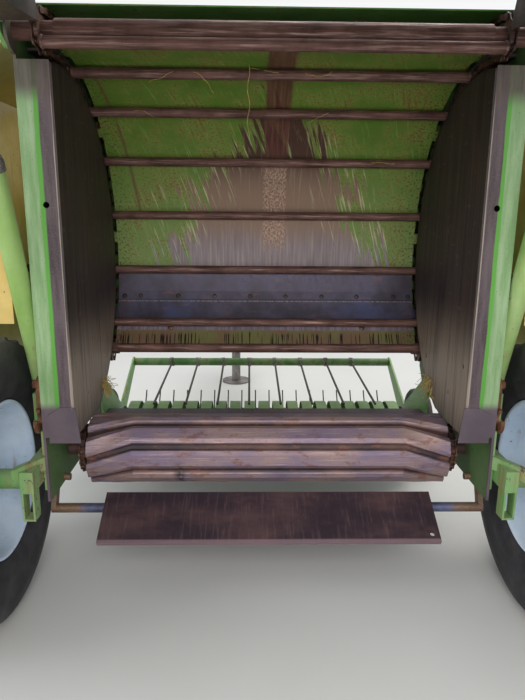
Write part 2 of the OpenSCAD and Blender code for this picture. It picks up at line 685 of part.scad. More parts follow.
module pickup_frame() color(green) placed() {
    for (s = [-1, 1]) on_side(s) {
        difference() {
            across(pickup_x, pickup_x + 8) union() {
                hull() {
                    translate(pickup_pivot) circle(r = 34, $fn = 32);
                    translate(reel) circle(r = 120, $fn = 32);
                    translate(stripper_tube) circle(r = 30, $fn = 32);
                }
                hull() {
                    translate(reel) circle(r = 60, $fn = 32);
                    translate(gauge_at) circle(r = 28, $fn = 32);
                }
                hull() {
                    translate(reel + [60, 20]) circle(r = 50, $fn = 32);
                    translate(guard) circle(r = 26, $fn = 32);
                }
            }
            rod_x(reel[0], reel[1], 20 + fit, pickup_x - 1, pickup_x + 10);
            rod_x(guard[0], guard[1], 12 + fit, pickup_x - 1, pickup_x + 10);
            rod_x(gauge_at[0], gauge_at[1], 12, pickup_x - 1, pickup_x + 10);
        }
        rod_x(pickup_pivot[0], pickup_pivot[1], 15, pickup_x + 8, skin_x + 6);
        rod_x(gauge_at[0], gauge_at[1], 12, pickup_x, gauge_x + 44);
    }
    rod_x(stripper_tube[0], stripper_tube[1], 20, -pickup_x, pickup_x);
}

// One edge of a stripper band: an arc over the reel and a straight tail behind it.
function stripper_edge(r) = concat(arc_pts(reel, r, stripper_low, stripper_bend, 11),
    [about(reel, r, stripper_bend), about(about(reel, r, stripper_bend), stripper_tail, stripper_bend + 90)]);

module strippers() color(green) placed() for (i = [0:tine_n])
    translate([(i - tine_n / 2) * tine_pitch, 0, 0]) across(-24, 24)
        polygon(concat(stripper_edge(stripper_r), [for (p = [12:-1:0]) stripper_edge(stripper_r - 3)[p]]));

module pickup_reel() color(dark) placed() {
    rod_x(reel[0], reel[1], 20, -pickup_x - 10, pickup_x + 10);
    for (s = [-1, 1]) on_side(s) rod_x(reel[0], reel[1], reel_bar_at + 16, reel_half - 6, reel_half);
    for (b = [0:tine_bars - 1]) {
        a = 45 + 360 / tine_bars * b;
        p = about(reel, reel_bar_at, a);
        rod_x(p[0], p[1], reel_bar_r, -reel_half, reel_half);
        for (i = [0:tine_n - 1]) translate([(i - (tine_n - 1) / 2) * tine_pitch, p[0], p[1]])
            rotate([a - 90, 0, 0]) cylinder(r = 4, h = tine_r - reel_bar_at, $fn = 6);
    }
}

module windguard() color(green) placed() {
    rod_x(guard[0], guard[1], 20, -pickup_x + 1, pickup_x - 1);
    for (s = [-1, 1]) on_side(s) rod_x(guard[0], guard[1], 12, pickup_x - 1, pickup_x + 14);
    for (i = [0:guard_wires - 1]) translate([(i - (guard_wires - 1) / 2) * guard_pitch, guard[0], guard[1]])
        rotate([90 + guard_dip, 0, 0]) cylinder(r = 5, h = guard_reach);
}

module gauge_wheel(s) color(rubber) placed() on_side(s)
    translate([gauge_x, gauge_at[0], gauge_at[1]]) rotate([0, 90, 0]) difference() {
        translate([0, 0, -38]) cylinder(r = gauge_r, h = 76);
        translate([0, 0, -40]) cylinder(r = 12 + fit, h = 80);
    }

module hood(s) color(ochre) placed() on_side(s) {
    difference() {
        union() {
            box(hood_x - 4, hood_x, hood_y[0], hood_y[1], hood_z[0], hood_z[1]);
            box(skin_x + 78, hood_x, hood_y[0], hood_y[0] + 4, hood_z[0], hood_z[1]);
            box(skin_x + 78, hood_x, hood_y[1] - 4, hood_y[1], hood_z[0], hood_z[1]);
            translate([0, hood_y[1], 0]) rotate([90, 0, 0]) linear_extrude(hood_y[1] - hood_y[0])
                polygon([[hood_x, hood_z[1]], [hood_x - 4, hood_z[1] - 4], [hood_pin[0], hood_pin[1] - 4],
                    [hood_pin[0], hood_pin[1]]]);
        }
        rod_x(axle_y, axle_z, tyre_r + 40, skin_x, hood_x + 52);
        for (y = hood_lugs) box(hood_pin[0] - 5, hood_pin[0] + 26, y - 6, y + hood_lug_t + 6,
            hood_pin[1] - 40, hood_pin[1] + 40);
    }
    for (y = hood_presses) translate([0, 0, hood_z[0] + 230]) linear_extrude(hood_z[1] - hood_z[0] - 300)
        polygon([[hood_x - 1, y - 70], [hood_x + 6, y - 56], [hood_x + 6, y + 56], [hood_x - 1, y + 70]]);
    translate([hood_pin[0], hood_y[1], hood_pin[1]]) rotate([90, 0, 0]) cylinder(r = 8, h = hood_y[1] - hood_y[0]);
}

side_wall(-1);  // side_wall_left
side_wall(1);  // side_wall_right
chamber_disc(-1);  // chamber_disc_left
chamber_disc(1);  // chamber_disc_right
front_sheet();
front_cover();
chain_guides();
pivot_shaft();
lower_shaft();
slat_chain_front();
throat_floor();
axle(-1);  // axle_left
axle(1);  // axle_right
latch_hooks();
drawbar();
jack_sleeve();
jack_leg();
gearbox();
pto_shaft();
drive_chain();
twine_box();
twine_lid();
hose(-1);  // hose_left
hose(1);  // hose_right
feed_roller();
ramp_bar();
ramp_plate();
tyre(-1);  // tyre_left
tyre(1);  // tyre_right
rim(-1);  // rim_left
rim(1);  // rim_right
tailgate_side(-1);  // tailgate_side_left
tailgate_side(1);  // tailgate_side_right
tailgate_sheets();
tailgate_beams();
slat_chain_rear();
tail_shaft();
barrel(-1);  // barrel_left
barrel(1);  // barrel_right
rod(-1);  // rod_left
rod(1);  // rod_right
pickup_frame();
strippers();
pickup_reel();
windguard();
gauge_wheel(-1);  // gauge_wheel_left
gauge_wheel(1);  // gauge_wheel_right
hood(-1);  // hood_left
hood(1);  // hood_right
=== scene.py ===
# %% [markdown]
# # A round baler, seen from behind
#
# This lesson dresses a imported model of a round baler: a towed machine that rolls hay into big round
# bales. What is left for Blender is what the eye judges: worn paint, polished steel, chains, bolts and
# rubber.

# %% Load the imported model
import json
import math
import random
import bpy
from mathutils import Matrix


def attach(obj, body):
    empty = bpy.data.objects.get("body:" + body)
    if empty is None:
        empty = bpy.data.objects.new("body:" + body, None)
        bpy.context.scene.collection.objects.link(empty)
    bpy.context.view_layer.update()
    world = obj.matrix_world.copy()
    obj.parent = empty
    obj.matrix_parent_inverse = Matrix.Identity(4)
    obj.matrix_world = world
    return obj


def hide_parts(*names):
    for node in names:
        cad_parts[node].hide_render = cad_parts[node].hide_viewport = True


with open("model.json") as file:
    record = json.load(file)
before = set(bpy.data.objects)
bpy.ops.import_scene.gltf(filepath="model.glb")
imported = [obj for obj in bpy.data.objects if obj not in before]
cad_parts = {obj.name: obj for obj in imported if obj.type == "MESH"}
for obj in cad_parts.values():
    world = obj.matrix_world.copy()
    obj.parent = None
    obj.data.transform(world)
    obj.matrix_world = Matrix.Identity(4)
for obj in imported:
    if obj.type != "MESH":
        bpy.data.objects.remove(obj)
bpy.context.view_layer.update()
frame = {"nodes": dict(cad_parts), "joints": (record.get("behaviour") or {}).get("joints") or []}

from types import SimpleNamespace

import bmesh
import bpy
from mathutils import Matrix, Vector

nodes = frame["nodes"]
joints = {joint["name"]: joint for joint in frame["joints"]}

# %% [markdown]
# ## Measures
#
# All places are written in millimetres from the middle of the bale chamber, on the ground, because the
# round chamber is what the rest is drawn about. One helper turns such a place into the metres of the
# frame. The joints carry exact axes, so the pivot and the wheel hubs are read from them. The machine is
# nearly the same on both sides, so most pieces are made in a loop over its two sides.

# %% Measures and places
MM = 0.001
CHAMBER_Y = -0.710
CENTRE = Vector((0, CHAMBER_Y, 1.068))
PIVOT = Vector(joints["tailgate_swing"]["pos_m"])
WALL_X = 0.692  # inner face of the side plates
SKIN_X = 0.700  # outer face of the side plates
FLANGE_Y = CHAMBER_Y - 0.100  # front of the side plates' rear flange
SHEET_R = 0.602  # inner face of the curved front sheet
SLAT_RUN_R = 0.580  # circle of the slats on their inner run
RETURN_R = 0.680  # circle of the slats on their way back
SPROCKET_R = 0.050
FRONT_Y = 749.92  # front of the drawbar's cross beam, in millimetres ahead of the chamber's middle
DRIVE_Z = 820  # height of the gearbox's shafts, in millimetres
GATE_OPEN = 85  # degrees that the tailgate stands open
SIDES = ((-1, "left"), (1, "right"))


def at(x, y, z):
    """A place in millimetres from the chamber's middle, as metres in the frame."""
    return Vector((x * MM, CHAMBER_Y + y * MM, z * MM))


def round_centre(radius, degrees, x=0.0):
    """A place at a radius and a direction about the chamber's axis; 0 is forward and 90 is up."""
    a = math.radians(degrees)
    return Vector((x, CENTRE.y + radius * math.cos(a), CENTRE.z + radius * math.sin(a)))


print("pivot at", [round(v, 3) for v in PIVOT])

# %% [markdown]
# ## Camera
#
# The photograph was taken from inside the swing of the tailgate, a little above the middle of the
# chamber and tilted down by 13 degrees. The fit comes from the chamber's own edges. A camera's sensor
# width belongs to the long side of the picture, so the lens is worked out from the picture's height.

# %% The camera
FOCAL_PIXELS = 600
PICTURE_HEIGHT = 700
SENSOR = 36.0
LENS = SENSOR * FOCAL_PIXELS / PICTURE_HEIGHT
CAMERA_PLACE = (-0.066, -2.569, 1.230)
PITCH, YAW, ROLL = 13.1, 1.25, 0.45  # degrees down, to the right and about the line of sight

camera = bpy.data.objects.new("camera", bpy.data.cameras.new("camera"))
bpy.context.scene.collection.objects.link(camera)
camera.data.sensor_width = SENSOR
camera.data.lens = LENS
camera.data.clip_start = 0.02
camera.location = CAMERA_PLACE
looking = Matrix.Rotation(math.radians(-YAW), 4, "Z") @ Matrix.Rotation(math.radians(90 - PITCH), 4, "X")
camera.rotation_euler = (looking @ Matrix.Rotation(math.radians(ROLL), 4, "Z")).to_euler()
bpy.context.scene.camera = camera
bpy.context.scene.view_settings.view_transform = "Standard"
print("lens", round(LENS, 2), "mm")

# %% [markdown]
# ## Writing sums as sums
#
# A worn surface is mostly arithmetic: where rust starts, how far dust climbs, how a scratch fades. Node
# trees hide that arithmetic in wires. A small class wraps one number socket and overloads the operators,
# so that an expression such as `1 - mask * 0.5` adds the nodes it needs. The same bench builds
# materials, geometry trees and the world, since all of them use the same Math node.


# %% Numbers and benches
class Number:
    """One number that changes from place to place, in a node tree."""

    def __init__(self, bench, socket):
        self.bench, self.socket = bench, socket

    def _sum(self, operation, *values):
        return self.bench.number("ShaderNodeMath", {"operation": operation}, dict(enumerate(values)))

    def __add__(self, other):
        return self._sum("ADD", self, other)

    def __radd__(self, other):
        return self._sum("ADD", other, self)

    def __sub__(self, other):
        return self._sum("SUBTRACT", self, other)

    def __rsub__(self, other):
        return self._sum("SUBTRACT", other, self)

    def __mul__(self, other):
        return self._sum("MULTIPLY", self, other)

    def __rmul__(self, other):
        return self._sum("MULTIPLY", other, self)

    def __truediv__(self, other):
        return self._sum("DIVIDE", self, other)

    def __pow__(self, other):
        return self._sum("POWER", self, other)

    def __abs__(self):
        return self._sum("ABSOLUTE", self)

    def __mod__(self, other):
        return self._sum("FLOORED_MODULO", self, other)

    def sine(self):
        return self._sum("SINE", self)

    def most(self, other):
        return self._sum("MAXIMUM", self, other)

    def least(self, other):
        return self._sum("MINIMUM", self, other)

    def towards(self, other):
        """The direction of the point (self, other), in radians, as arctan2 of other and self."""
        return self._sum("ARCTAN2", other, self)

    def rise(self, low, high):
        """0 below low, 1 above high, and a smooth climb between them; falls if low is the greater."""
        return self.bench.number(
            "ShaderNodeMapRange",
            {"interpolation_type": "SMOOTHSTEP"},
            {"Value": self, "From Min": low, "From Max": high, "To Min": 0.0, "To Max": 1.0},
        )

    def hill(self, middle, reach):
        """1 at a middle value, falling smoothly to 0 at a reach on either side."""
        return abs(self - middle).rise(reach, 0)


class Bench:
    """Adds nodes to one tree: settings are set first, then sockets get values or links."""

    def __init__(self, tree):
        self.tree = tree

    def node(self, kind, settings=None, sockets=None):
        """A new node; a socket takes a number, a link from another socket, or a plain value."""
        made = self.tree.nodes.new(kind)
        for name, value in (settings or {}).items():
            setattr(made, name, value)
        for name, value in (sockets or {}).items():
            if isinstance(value, Number):
                value = value.socket
            if isinstance(value, bpy.types.NodeSocket):
                self.tree.links.new(value, made.inputs[name])
            else:
                made.inputs[name].default_value = value
        return made

    def number(self, kind, settings=None, sockets=None):
        """A new node, as the number that its first output gives."""
        return Number(self, self.node(kind, settings, sockets).outputs[0])


print("the bench is ready")

# %% [markdown]
# ## Light
#
# The light is plain and soft, as under a bright sky: an even world, one broad lamp high in front, one to
# the left, and one behind the camera that looks into the chamber. The world is a little bluish where it
# lights the machine, and pale where the camera, a mirror or glass looks straight at it.


# %% Soft studio light
def studio_world(strength):
    """An even world for light, and a pale one for the eye."""
    world = bpy.data.worlds.new("studio")
    world.use_nodes = True
    world.node_tree.nodes.clear()
    sky = Bench(world.node_tree)
    rays = sky.node("ShaderNodeLightPath").outputs
    mirrored = Number(sky, rays["Is Glossy Ray"]).most(Number(sky, rays["Is Transmission Ray"]))
    looked_at = Number(sky, rays["Is Camera Ray"]).most(mirrored)
    light = sky.node("ShaderNodeBackground", None, {"Color": (0.94, 0.97, 1.0, 1), "Strength": strength})
    seen = sky.node("ShaderNodeBackground", None, {"Color": (0.93, 0.94, 0.95, 1), "Strength": 1.0})
    choice = sky.node("ShaderNodeMixShader", None, {0: looked_at, 1: light.outputs[0], 2: seen.outputs[0]})
    sky.node("ShaderNodeOutputWorld", None, {"Surface": choice.outputs[0]})
    bpy.context.scene.world = world


def lamp(name, place, towards, size, watts, colour):
    """A broad square lamp that looks at a place."""
    data = bpy.data.lights.new(name, "AREA")
    data.energy, data.size, data.color = watts, size, colour
    lamp_object = bpy.data.objects.new(name, data)
    lamp_object.location = place
    lamp_object.rotation_euler = (Vector(towards) - Vector(place)).to_track_quat("-Z", "Y").to_euler()
    bpy.context.scene.collection.objects.link(lamp_object)


studio_world(0.62)
lamp("sky_lamp", (1.8, 1.5, 5.2), (0, -0.6, 1.0), size=4.0, watts=190, colour=(1.0, 0.98, 0.95))
lamp("left_lamp", (-4.2, -2.4, 3.2), (0, -0.7, 1.0), size=3.0, watts=90, colour=(0.96, 0.98, 1.0))
lamp("chamber_lamp", (0.2, -4.6, 2.2), (0, -0.4, 1.0), size=2.6, watts=105, colour=(1.0, 0.99, 0.97))
print("three lamps and a world")

# %% [markdown]
# ## A paint bench
#
# Every finish on this machine is layered the same way in real life: a base coat or bare steel, then
# larger stains, then streaks where water ran, then fine specks and scratches. The paint bench has one
# method for each layer. All of them read Object coordinates, in metres, so a pattern sits still on its
# part when a joint moves. Patterns that follow the drum use the direction about the chamber's axis.


# %% The paint bench
def rgb(red, green, blue):
    """A colour as a screen gives it, from 0 to 255, as the linear colour that a shader uses."""
    screen = [c / 255 for c in (red, green, blue)]
    linear = [c / 12.92 if c <= 10 / 255 else ((c + 0.055) / 1.055) ** 2.4 for c in screen]
    return (*linear, 1.0)


class Paint(Bench):
    """Builds one material."""

    def __init__(self, name):
        self.material = bpy.data.materials.new(name)
        self.material.use_nodes = True
        super().__init__(self.material.node_tree)
        self.tree.nodes.clear()
        coordinates = self.node("ShaderNodeTexCoord").outputs
        self.place = coordinates["Object"]
        split = self.node("ShaderNodeSeparateXYZ", None, {0: self.place})
        self.x, self.y, self.z = (Number(self, socket) for socket in split.outputs)
        facing = self.node("ShaderNodeSeparateXYZ", None, {0: coordinates["Normal"]})
        self.up = Number(self, facing.outputs[2])

    def drum(self, gate=False):
        """The way round the chamber and the distance from its axis; on the tailgate, as if it were closed."""
        y, z = self.y - CENTRE.y, self.z - CENTRE.z
        if gate:
            out, over = self.y - PIVOT.y, self.z - PIVOT.z
            cosine, sine = math.cos(math.radians(GATE_OPEN)), math.sin(math.radians(GATE_OPEN))
            y = over * sine - out * cosine + (CENTRE.y - PIVOT.y)
            z = out * sine + over * cosine + (PIVOT.z - CENTRE.z)
        return y.towards(z) * SHEET_R, (y * y + z * z) ** 0.5

    def spot(self, x, y, z):
        """A place made of three numbers."""
        return self.node("ShaderNodeCombineXYZ", None, {0: x, 1: y, 2: z}).outputs[0]

    def noise(self, size, detail=4.0, rough=0.6, stretch=(1, 1, 1), place=None):
        """Soft random cloud, about size metres across, longer along an axis with a greater stretch."""
        scaled = self.node(
            "ShaderNodeVectorMath",
            {"operation": "MULTIPLY"},
            {0: place or self.place, 1: [1 / (size * s) for s in stretch]},
        )
        return self.number(
            "ShaderNodeTexNoise",
            None,
            {"Vector": scaled.outputs[0], "Scale": 1.0, "Detail": detail, "Roughness": rough},
        )

    def mix(self, factor, first, second):
        """The first colour where the factor is 0, and the second where it is 1."""
        made = self.node("ShaderNodeMix", {"data_type": "RGBA"}, {0: factor, 6: first, 7: second})
        return made.outputs[2]

    def shade(self, colour, factor):
        """A colour made darker or lighter by a number."""
        grey = self.node("ShaderNodeCombineColor", None, {0: factor, 1: factor, 2: factor}).outputs[0]
        multiply = {"data_type": "RGBA", "blend_type": "MULTIPLY"}
        return self.node("ShaderNodeMix", multiply, {0: 1.0, 6: colour, 7: grey}).outputs[2]

    def close(self, colour, roughness, metallic=0.0, height=None, depth=0.001):
        """The shader at the end, with a bump from a height that is 0 to 1 over a depth in metres."""
        sockets = {"Base Color": colour, "Roughness": roughness, "Metallic": metallic}
        if height is not None:
            bump = self.node("ShaderNodeBump", None, {"Strength": 0.8, "Distance": depth, "Height": height})
            sockets["Normal"] = bump.outputs[0]
        shader = self.node("ShaderNodeBsdfPrincipled", None, sockets)
        self.node("ShaderNodeOutputMaterial", None, {"Surface": shader.outputs[0]})
        return self.material


print("the paint bench is ready")

# %% [markdown]
# ## Old farm paint
#
# Farm machines are painted once and then live outside. Sun bleaches them in clouds, rain pulls rust down
# from bolts and edges, and dust sticks low down. The helper below makes that for any colour: the
# amounts say how much of each layer a part has, so that hoods, beams and plates differ.

# %% Farm paint
RUST_DARK = rgb(72, 46, 34)
RUST_LIGHT = rgb(150, 96, 62)
DUST = rgb(168, 156, 132)
STEEL_GREY = rgb(120, 112, 112)


def farm_paint(name, colour, faded, rust, dust, chips, gloss=0.38):
    """A coat of paint that has weathered: bleached, streaked with rust, chipped and dusty."""
    p = Paint(name)
    cloud = p.noise(0.22, 5)
    streaks = p.noise(0.030, 5, 0.62, (1, 1, 9))
    fine = p.noise(0.006, 3)
    paint = p.mix(cloud.rise(0.35, 0.68) * 0.8, colour, faded)
    paint = p.shade(paint, 0.86 + p.noise(0.05, 4) * 0.30)
    stain = (streaks + cloud * 0.5).rise(0.98 - rust * 0.42, 1.18 - rust * 0.30)
    paint = p.mix(stain * 0.75, paint, RUST_LIGHT)
    chipped = (p.noise(0.018, 6, 0.7) + cloud * 0.35).rise(0.93 - chips * 0.22, 0.95 - chips * 0.20)
    worn_through = p.mix(fine.rise(0.4, 0.62), RUST_DARK, STEEL_GREY)
    paint = p.mix(chipped, paint, worn_through)
    settled = (p.up.rise(0.2, 0.95) * 0.55 + (1 - p.z).rise(0.35, 1.0) * 0.35) * dust
    paint = p.mix(settled * (0.4 + fine * 0.9), paint, DUST)
    roughness = gloss + cloud * 0.16 + stain * 0.28 + chipped * 0.2 + settled * 0.3
    height = fine * 0.25 + (1 - chipped) * 0.6 + streaks * 0.15
    return p.close(paint, roughness.least(0.95), chipped * 0.35, height, 0.0007)


old_green = farm_paint(
    "old_green", rgb(86, 142, 62), rgb(122, 168, 98), rust=0.42, dust=0.4, chips=0.5)
axle_green = farm_paint(
    "axle_green", rgb(104, 156, 84), rgb(148, 176, 124), rust=0.55, dust=0.45, chips=0.62)
barrel_green = farm_paint(
    "barrel_green", rgb(142, 178, 96), rgb(168, 192, 132), rust=0.34, dust=0.25, chips=0.36, gloss=0.30)
ochre = farm_paint(
    "ochre", rgb(206, 176, 96), rgb(218, 196, 136), rust=0.30, dust=0.35, chips=0.36)
rim_white = farm_paint(
    "rim_white", rgb(218, 232, 250), rgb(198, 218, 244), rust=0.24, dust=0.25, chips=0.32, gloss=0.42)
print("five coats of old paint")

# %% [markdown]
# ## The front sheet
#
# The curved sheet behind the slats is the part that the photograph shows best. Hay has slid down it for
# years. Green paint is left high up and to the sides, stained orange-brown. A bare brown zone widens
# towards the bottom and ends in slanting tongues, because hay turns as it slides. A strip in the middle,
# where a weld seam once held the paint badly, is red-brown above and mottled beige below. Low down the
# steel is polished to slate, and the bottom edge is a comb whose slits are painted near-black as painted
# shade. The bands follow the drum, so each is written against the way round and the distance from the
# middle. Each layer has a function of its own, and all of them share one set of random patterns.


# %% The front sheet's layers
# Bands of the sheet, as the way round in metres, less the lower they are
SLATE_WAY, SEAM_WAY, SHELF_WAY, COMB_WAY = -0.078, -0.197, -0.287, -0.322


def sheet_patterns(p, way):
    """The random patterns that the layers share, laid out on the unrolled sheet."""
    lie = p.spot(p.x, way, 0.0)
    slant = p.spot(p.x + way * 0.30, way, 0.0)
    return SimpleNamespace(
        lie=lie,
        cloud=p.noise(0.15, 5, 0.62, place=lie),
        runs=p.noise(0.010, 3, 0.55, (1, 20, 1), lie),
        tongues=p.noise(0.026, 3, 0.5, (1, 12, 1), slant),
        scratch=p.noise(0.008, 3, 0.55, (1, 18, 1), slant),
        specks=p.noise(0.009, 5, 0.72, place=lie),
        fine=p.noise(0.003, 2, place=lie),
    )


def paint_left(p, way, on, stain):
    """The green that is left: paler low down, stained orange-brown and finely scratched."""
    green = p.mix(on.cloud.rise(0.35, 0.65), rgb(90, 124, 40), rgb(116, 144, 62))
    green = p.mix((0.5 - way).rise(0.0, 0.45) * 0.55, green, rgb(132, 156, 84))
    green = p.mix(stain.least(0.85), green, rgb(128, 80, 48))
    return p.mix(on.scratch.rise(0.40, 0.32) * 0.45, green, rgb(136, 176, 88))


def bare_steel(p, way, on):
    """The bare zone: brown, turning violet-grey low down, with pale runs."""
    brown = p.mix((0.42 - way).rise(0.0, 0.20), rgb(86, 60, 50), rgb(146, 120, 102))
    violet = p.mix(on.runs.rise(0.3, 0.7), rgb(128, 114, 118), rgb(152, 138, 140))
    brown = p.mix((0.10 - way + (on.cloud - 0.5) * 0.12).rise(-0.03, 0.10), brown, violet)
    return p.mix(on.runs.rise(0.55, 0.70) * 0.35, brown, rgb(178, 156, 134))


def middle_strip(p, way, on, colour):
    """The strip in the middle, laid over a colour."""
    inside = (p.x + (on.specks - 0.5) * 0.03 - 0.029).hill(0.0, 0.06).rise(0.05, 0.35)
    high = p.mix(on.runs.rise(0.35, 0.65), rgb(86, 50, 42), rgb(116, 74, 62))
    mottle = p.noise(0.007, 5, 0.75, (1, 1.6, 1), on.lie).rise(0.42, 0.62)
    low = p.mix(mottle, rgb(134, 106, 92), rgb(204, 172, 148))
    strip = p.mix((0.40 - way).rise(0.0, 0.08), high, low)
    return p.mix(inside * way.rise(-0.02, 0.08) * 0.9, colour, strip)


def slate_band(p, way, on):
    """Polished slate with a blue sheen and a few rusty clouds."""
    slate = p.mix(on.cloud.rise(0.35, 0.65), rgb(54, 48, 60), rgb(76, 70, 88))
    blue = abs(p.x).hill(0.40, 0.22) * way.hill(-0.24, 0.09) * on.cloud.rise(0.35, 0.6)
    slate = p.mix(blue * 0.55, slate, rgb(48, 64, 108))
    rusty = p.noise(0.03, 5, 0.65, (4, 1, 1), on.lie).rise(0.58, 0.70)
    return p.mix(rusty * 0.5, slate, rgb(118, 78, 70))


def low_edge(p, way, on, colour):
    """The dark seam with its lit edge, the shelf, and the comb whose slits are painted shade, laid over a
    colour.
    """
    colour = p.mix(way.hill(SEAM_WAY, 0.0035) * 0.8, colour, rgb(28, 26, 32))
    lit = way.hill(SEAM_WAY - 0.0065, 0.0030) * on.runs.rise(0.35, 0.6)
    colour = p.mix(lit * 0.7, colour, rgb(150, 142, 140))
    shelf = p.mix(on.runs.rise(0.3, 0.7), rgb(112, 100, 112), rgb(146, 134, 142))
    colour = p.mix(way.rise(SHELF_WAY, SHELF_WAY - 0.005), colour, shelf)
    crop = p.mix(on.cloud.rise(0.35, 0.65), rgb(124, 124, 78), rgb(124, 96, 76))
    colour = p.mix(way.rise(COMB_WAY, COMB_WAY - 0.008), colour, crop)
    # The comb's slits are painted near-black: painted shade in the gaps between its teeth.
    slits = p.noise(0.007, 2, 0.4, (1, 30, 1), on.lie).rise(0.55, 0.61)
    slits = slits * (way + 0.36 + (on.cloud - 0.5) * 0.05).rise(0.03, 0.01)
    return p.mix(slits * 0.95, colour, rgb(16, 14, 14))


print("five layers of wear")


# %% The front sheet's finish
def sheet_finish(name, gate=False):
    """The worn inner face of a curved sheet; the tailgate's sheets are green outside."""
    p = Paint(name)
    way, radius = p.drum(gate)
    on = sheet_patterns(p, way)
    spotted = (on.specks + on.cloud * 0.45).rise(0.72, 0.86) * 0.75
    stain = spotted + on.scratch.rise(0.56, 0.66) * on.cloud.rise(0.40, 0.62) * 0.6

    reach = (0.62 - way) * 0.66 + (on.tongues - 0.5) * 0.66 + (on.cloud - 0.5) * 0.24
    inside = reach + way.hill(0.27, 0.14) * 0.06 - abs(p.x - 0.03)
    bare = inside.rise(-0.02, 0.05)
    colour = p.mix(bare, paint_left(p, way, on, stain), bare_steel(p, way, on))
    tongue_edge = inside.hill(0.0, 0.13) * on.scratch.rise(0.54, 0.64)
    tongue_edge = tongue_edge * way.rise(-0.09, 0.04) * way.rise(0.56, 0.40)
    colour = p.mix(tongue_edge * 0.8, colour, rgb(206, 200, 160))
    # Low down the pale tongue edges turn sky-blue: a painted reflection of the sky on the polished steel.
    colour = p.mix(tongue_edge * way.rise(0.06, -0.04) * 0.9, colour, rgb(150, 176, 214))
    colour = middle_strip(p, way, on, colour)

    slate = (way + (on.cloud - 0.5) * 0.02).rise(SLATE_WAY + 0.010, SLATE_WAY - 0.010)
    colour = p.mix(slate, colour, slate_band(p, way, on))
    colour = low_edge(p, way, on, colour)

    thin_run = (p.x + way * 0.10 + 0.640).hill(0.155, 0.010) * way.rise(0.10, 0.16) * way.rise(0.80, 0.74)
    colour = p.mix(thin_run * on.runs.rise(0.30, 0.5) * 0.75, colour, rgb(104, 62, 52))
    ends = abs(p.x).rise(0.50, 0.60) * on.specks.rise(0.52, 0.60)
    colour = p.mix(ends * 0.85, colour, rgb(74, 50, 40))
    if gate:
        outside = p.mix(on.cloud.rise(0.3, 0.7), rgb(88, 146, 64), rgb(128, 174, 104))
        outside = p.mix(stain.least(0.6), outside, rgb(120, 84, 58))
        colour = p.mix(radius.rise(0.68, 0.69), colour, outside)
    roughness = 0.50 - slate * 0.14 + on.cloud * 0.12 + stain * 0.12 - tongue_edge * 0.1
    metal = (bare * 0.25 + slate * 0.30).least(0.45)
    height = on.runs * 0.4 + on.scratch * 0.4 + on.fine * 0.2
    return p.close(colour, roughness, metal, height, 0.0005)


front_sheet_wear = sheet_finish("front_sheet_wear")
gate_sheet_wear = sheet_finish("gate_sheet_wear", gate=True)
print("two worn sheets")

# %% [markdown]
# ## Side discs, flanges and slats
#
# The dark inner discs are bare steel, stained nearly black by crop juice with faint upright streaks and a
# dusty, lighter patch low down. The rear flanges carry several bands side by side: a purple-brown inner
# strip with a rubbed edge, a narrow strip of fresh green, and pale green outside. The slats are brown
# rust, polished where hay and bale rub them.


# %% Discs, flanges and slats
def disc_finish():
    """The dark inner discs, dusty low down and black along their rim."""
    p = Paint("stained_disc")
    streaks = p.noise(0.016, 4, 0.6, (1, 1, 26))
    cloud = p.noise(0.20, 5)
    colour = p.mix(streaks.rise(0.36, 0.68), rgb(52, 42, 40), rgb(74, 64, 60))
    colour = p.mix(cloud.rise(0.45, 0.75) * 0.5, colour, rgb(92, 70, 58))
    low = p.z.hill(0.70, 0.26) * streaks.rise(0.15, 0.6)
    colour = p.mix((low * 1.1).least(0.9), colour, rgb(158, 142, 128))
    scuffs = p.noise(0.004, 2, 0.5, (1, 14, 5)).rise(0.62, 0.74) * cloud
    colour = p.mix(scuffs * 0.4, colour, rgb(140, 128, 120))
    edge = p.spot(0.0, p.y, p.z)
    _, radius = p.drum()
    rim = (radius + (p.noise(0.02, 4, place=edge) - 0.5) * 0.02).rise(0.540, 0.556)
    colour = p.mix(rim * 0.7, colour, rgb(40, 32, 30))
    height = streaks * 0.4 + p.noise(0.003, 3) * 0.3
    return p.close(colour, 0.46 + cloud * 0.22, 0.25, height, 0.0005)


def flange_bands(p, side, streaks, cloud, fine):
    """The rear flange's colours, by the distance from the middle plane."""
    inner = p.mix(streaks.rise(0.3, 0.7), rgb(62, 48, 54), rgb(94, 80, 84))
    inner = p.mix(fine.rise(0.52, 0.72) * 0.4, inner, rgb(124, 110, 102))
    pale = p.mix(streaks.rise(0.35, 0.7), rgb(118, 154, 100), rgb(152, 178, 136))
    pale = p.mix(fine.rise(0.6, 0.75), pale, rgb(112, 84, 62))
    wobble = (streaks - 0.5) * 0.010
    band = p.mix((side + wobble).rise(0.641, 0.645), inner, rgb(88, 156, 58))
    band = p.mix((side + wobble).rise(0.653, 0.657), band, pale)
    band = p.mix((side + wobble).hill(0.6065, 0.004) * 0.8, band, rgb(176, 164, 152))
    top = p.mix(streaks.rise(0.3, 0.7), rgb(66, 54, 50), rgb(96, 84, 76))
    band = p.mix((p.z + wobble * 4).rise(1.50, 1.56) * 0.92, band, top)
    foot = p.mix(cloud.rise(0.3, 0.7), rgb(82, 70, 80), rgb(106, 92, 98))
    return p.mix(p.z.rise(0.66, 0.63), band, foot)


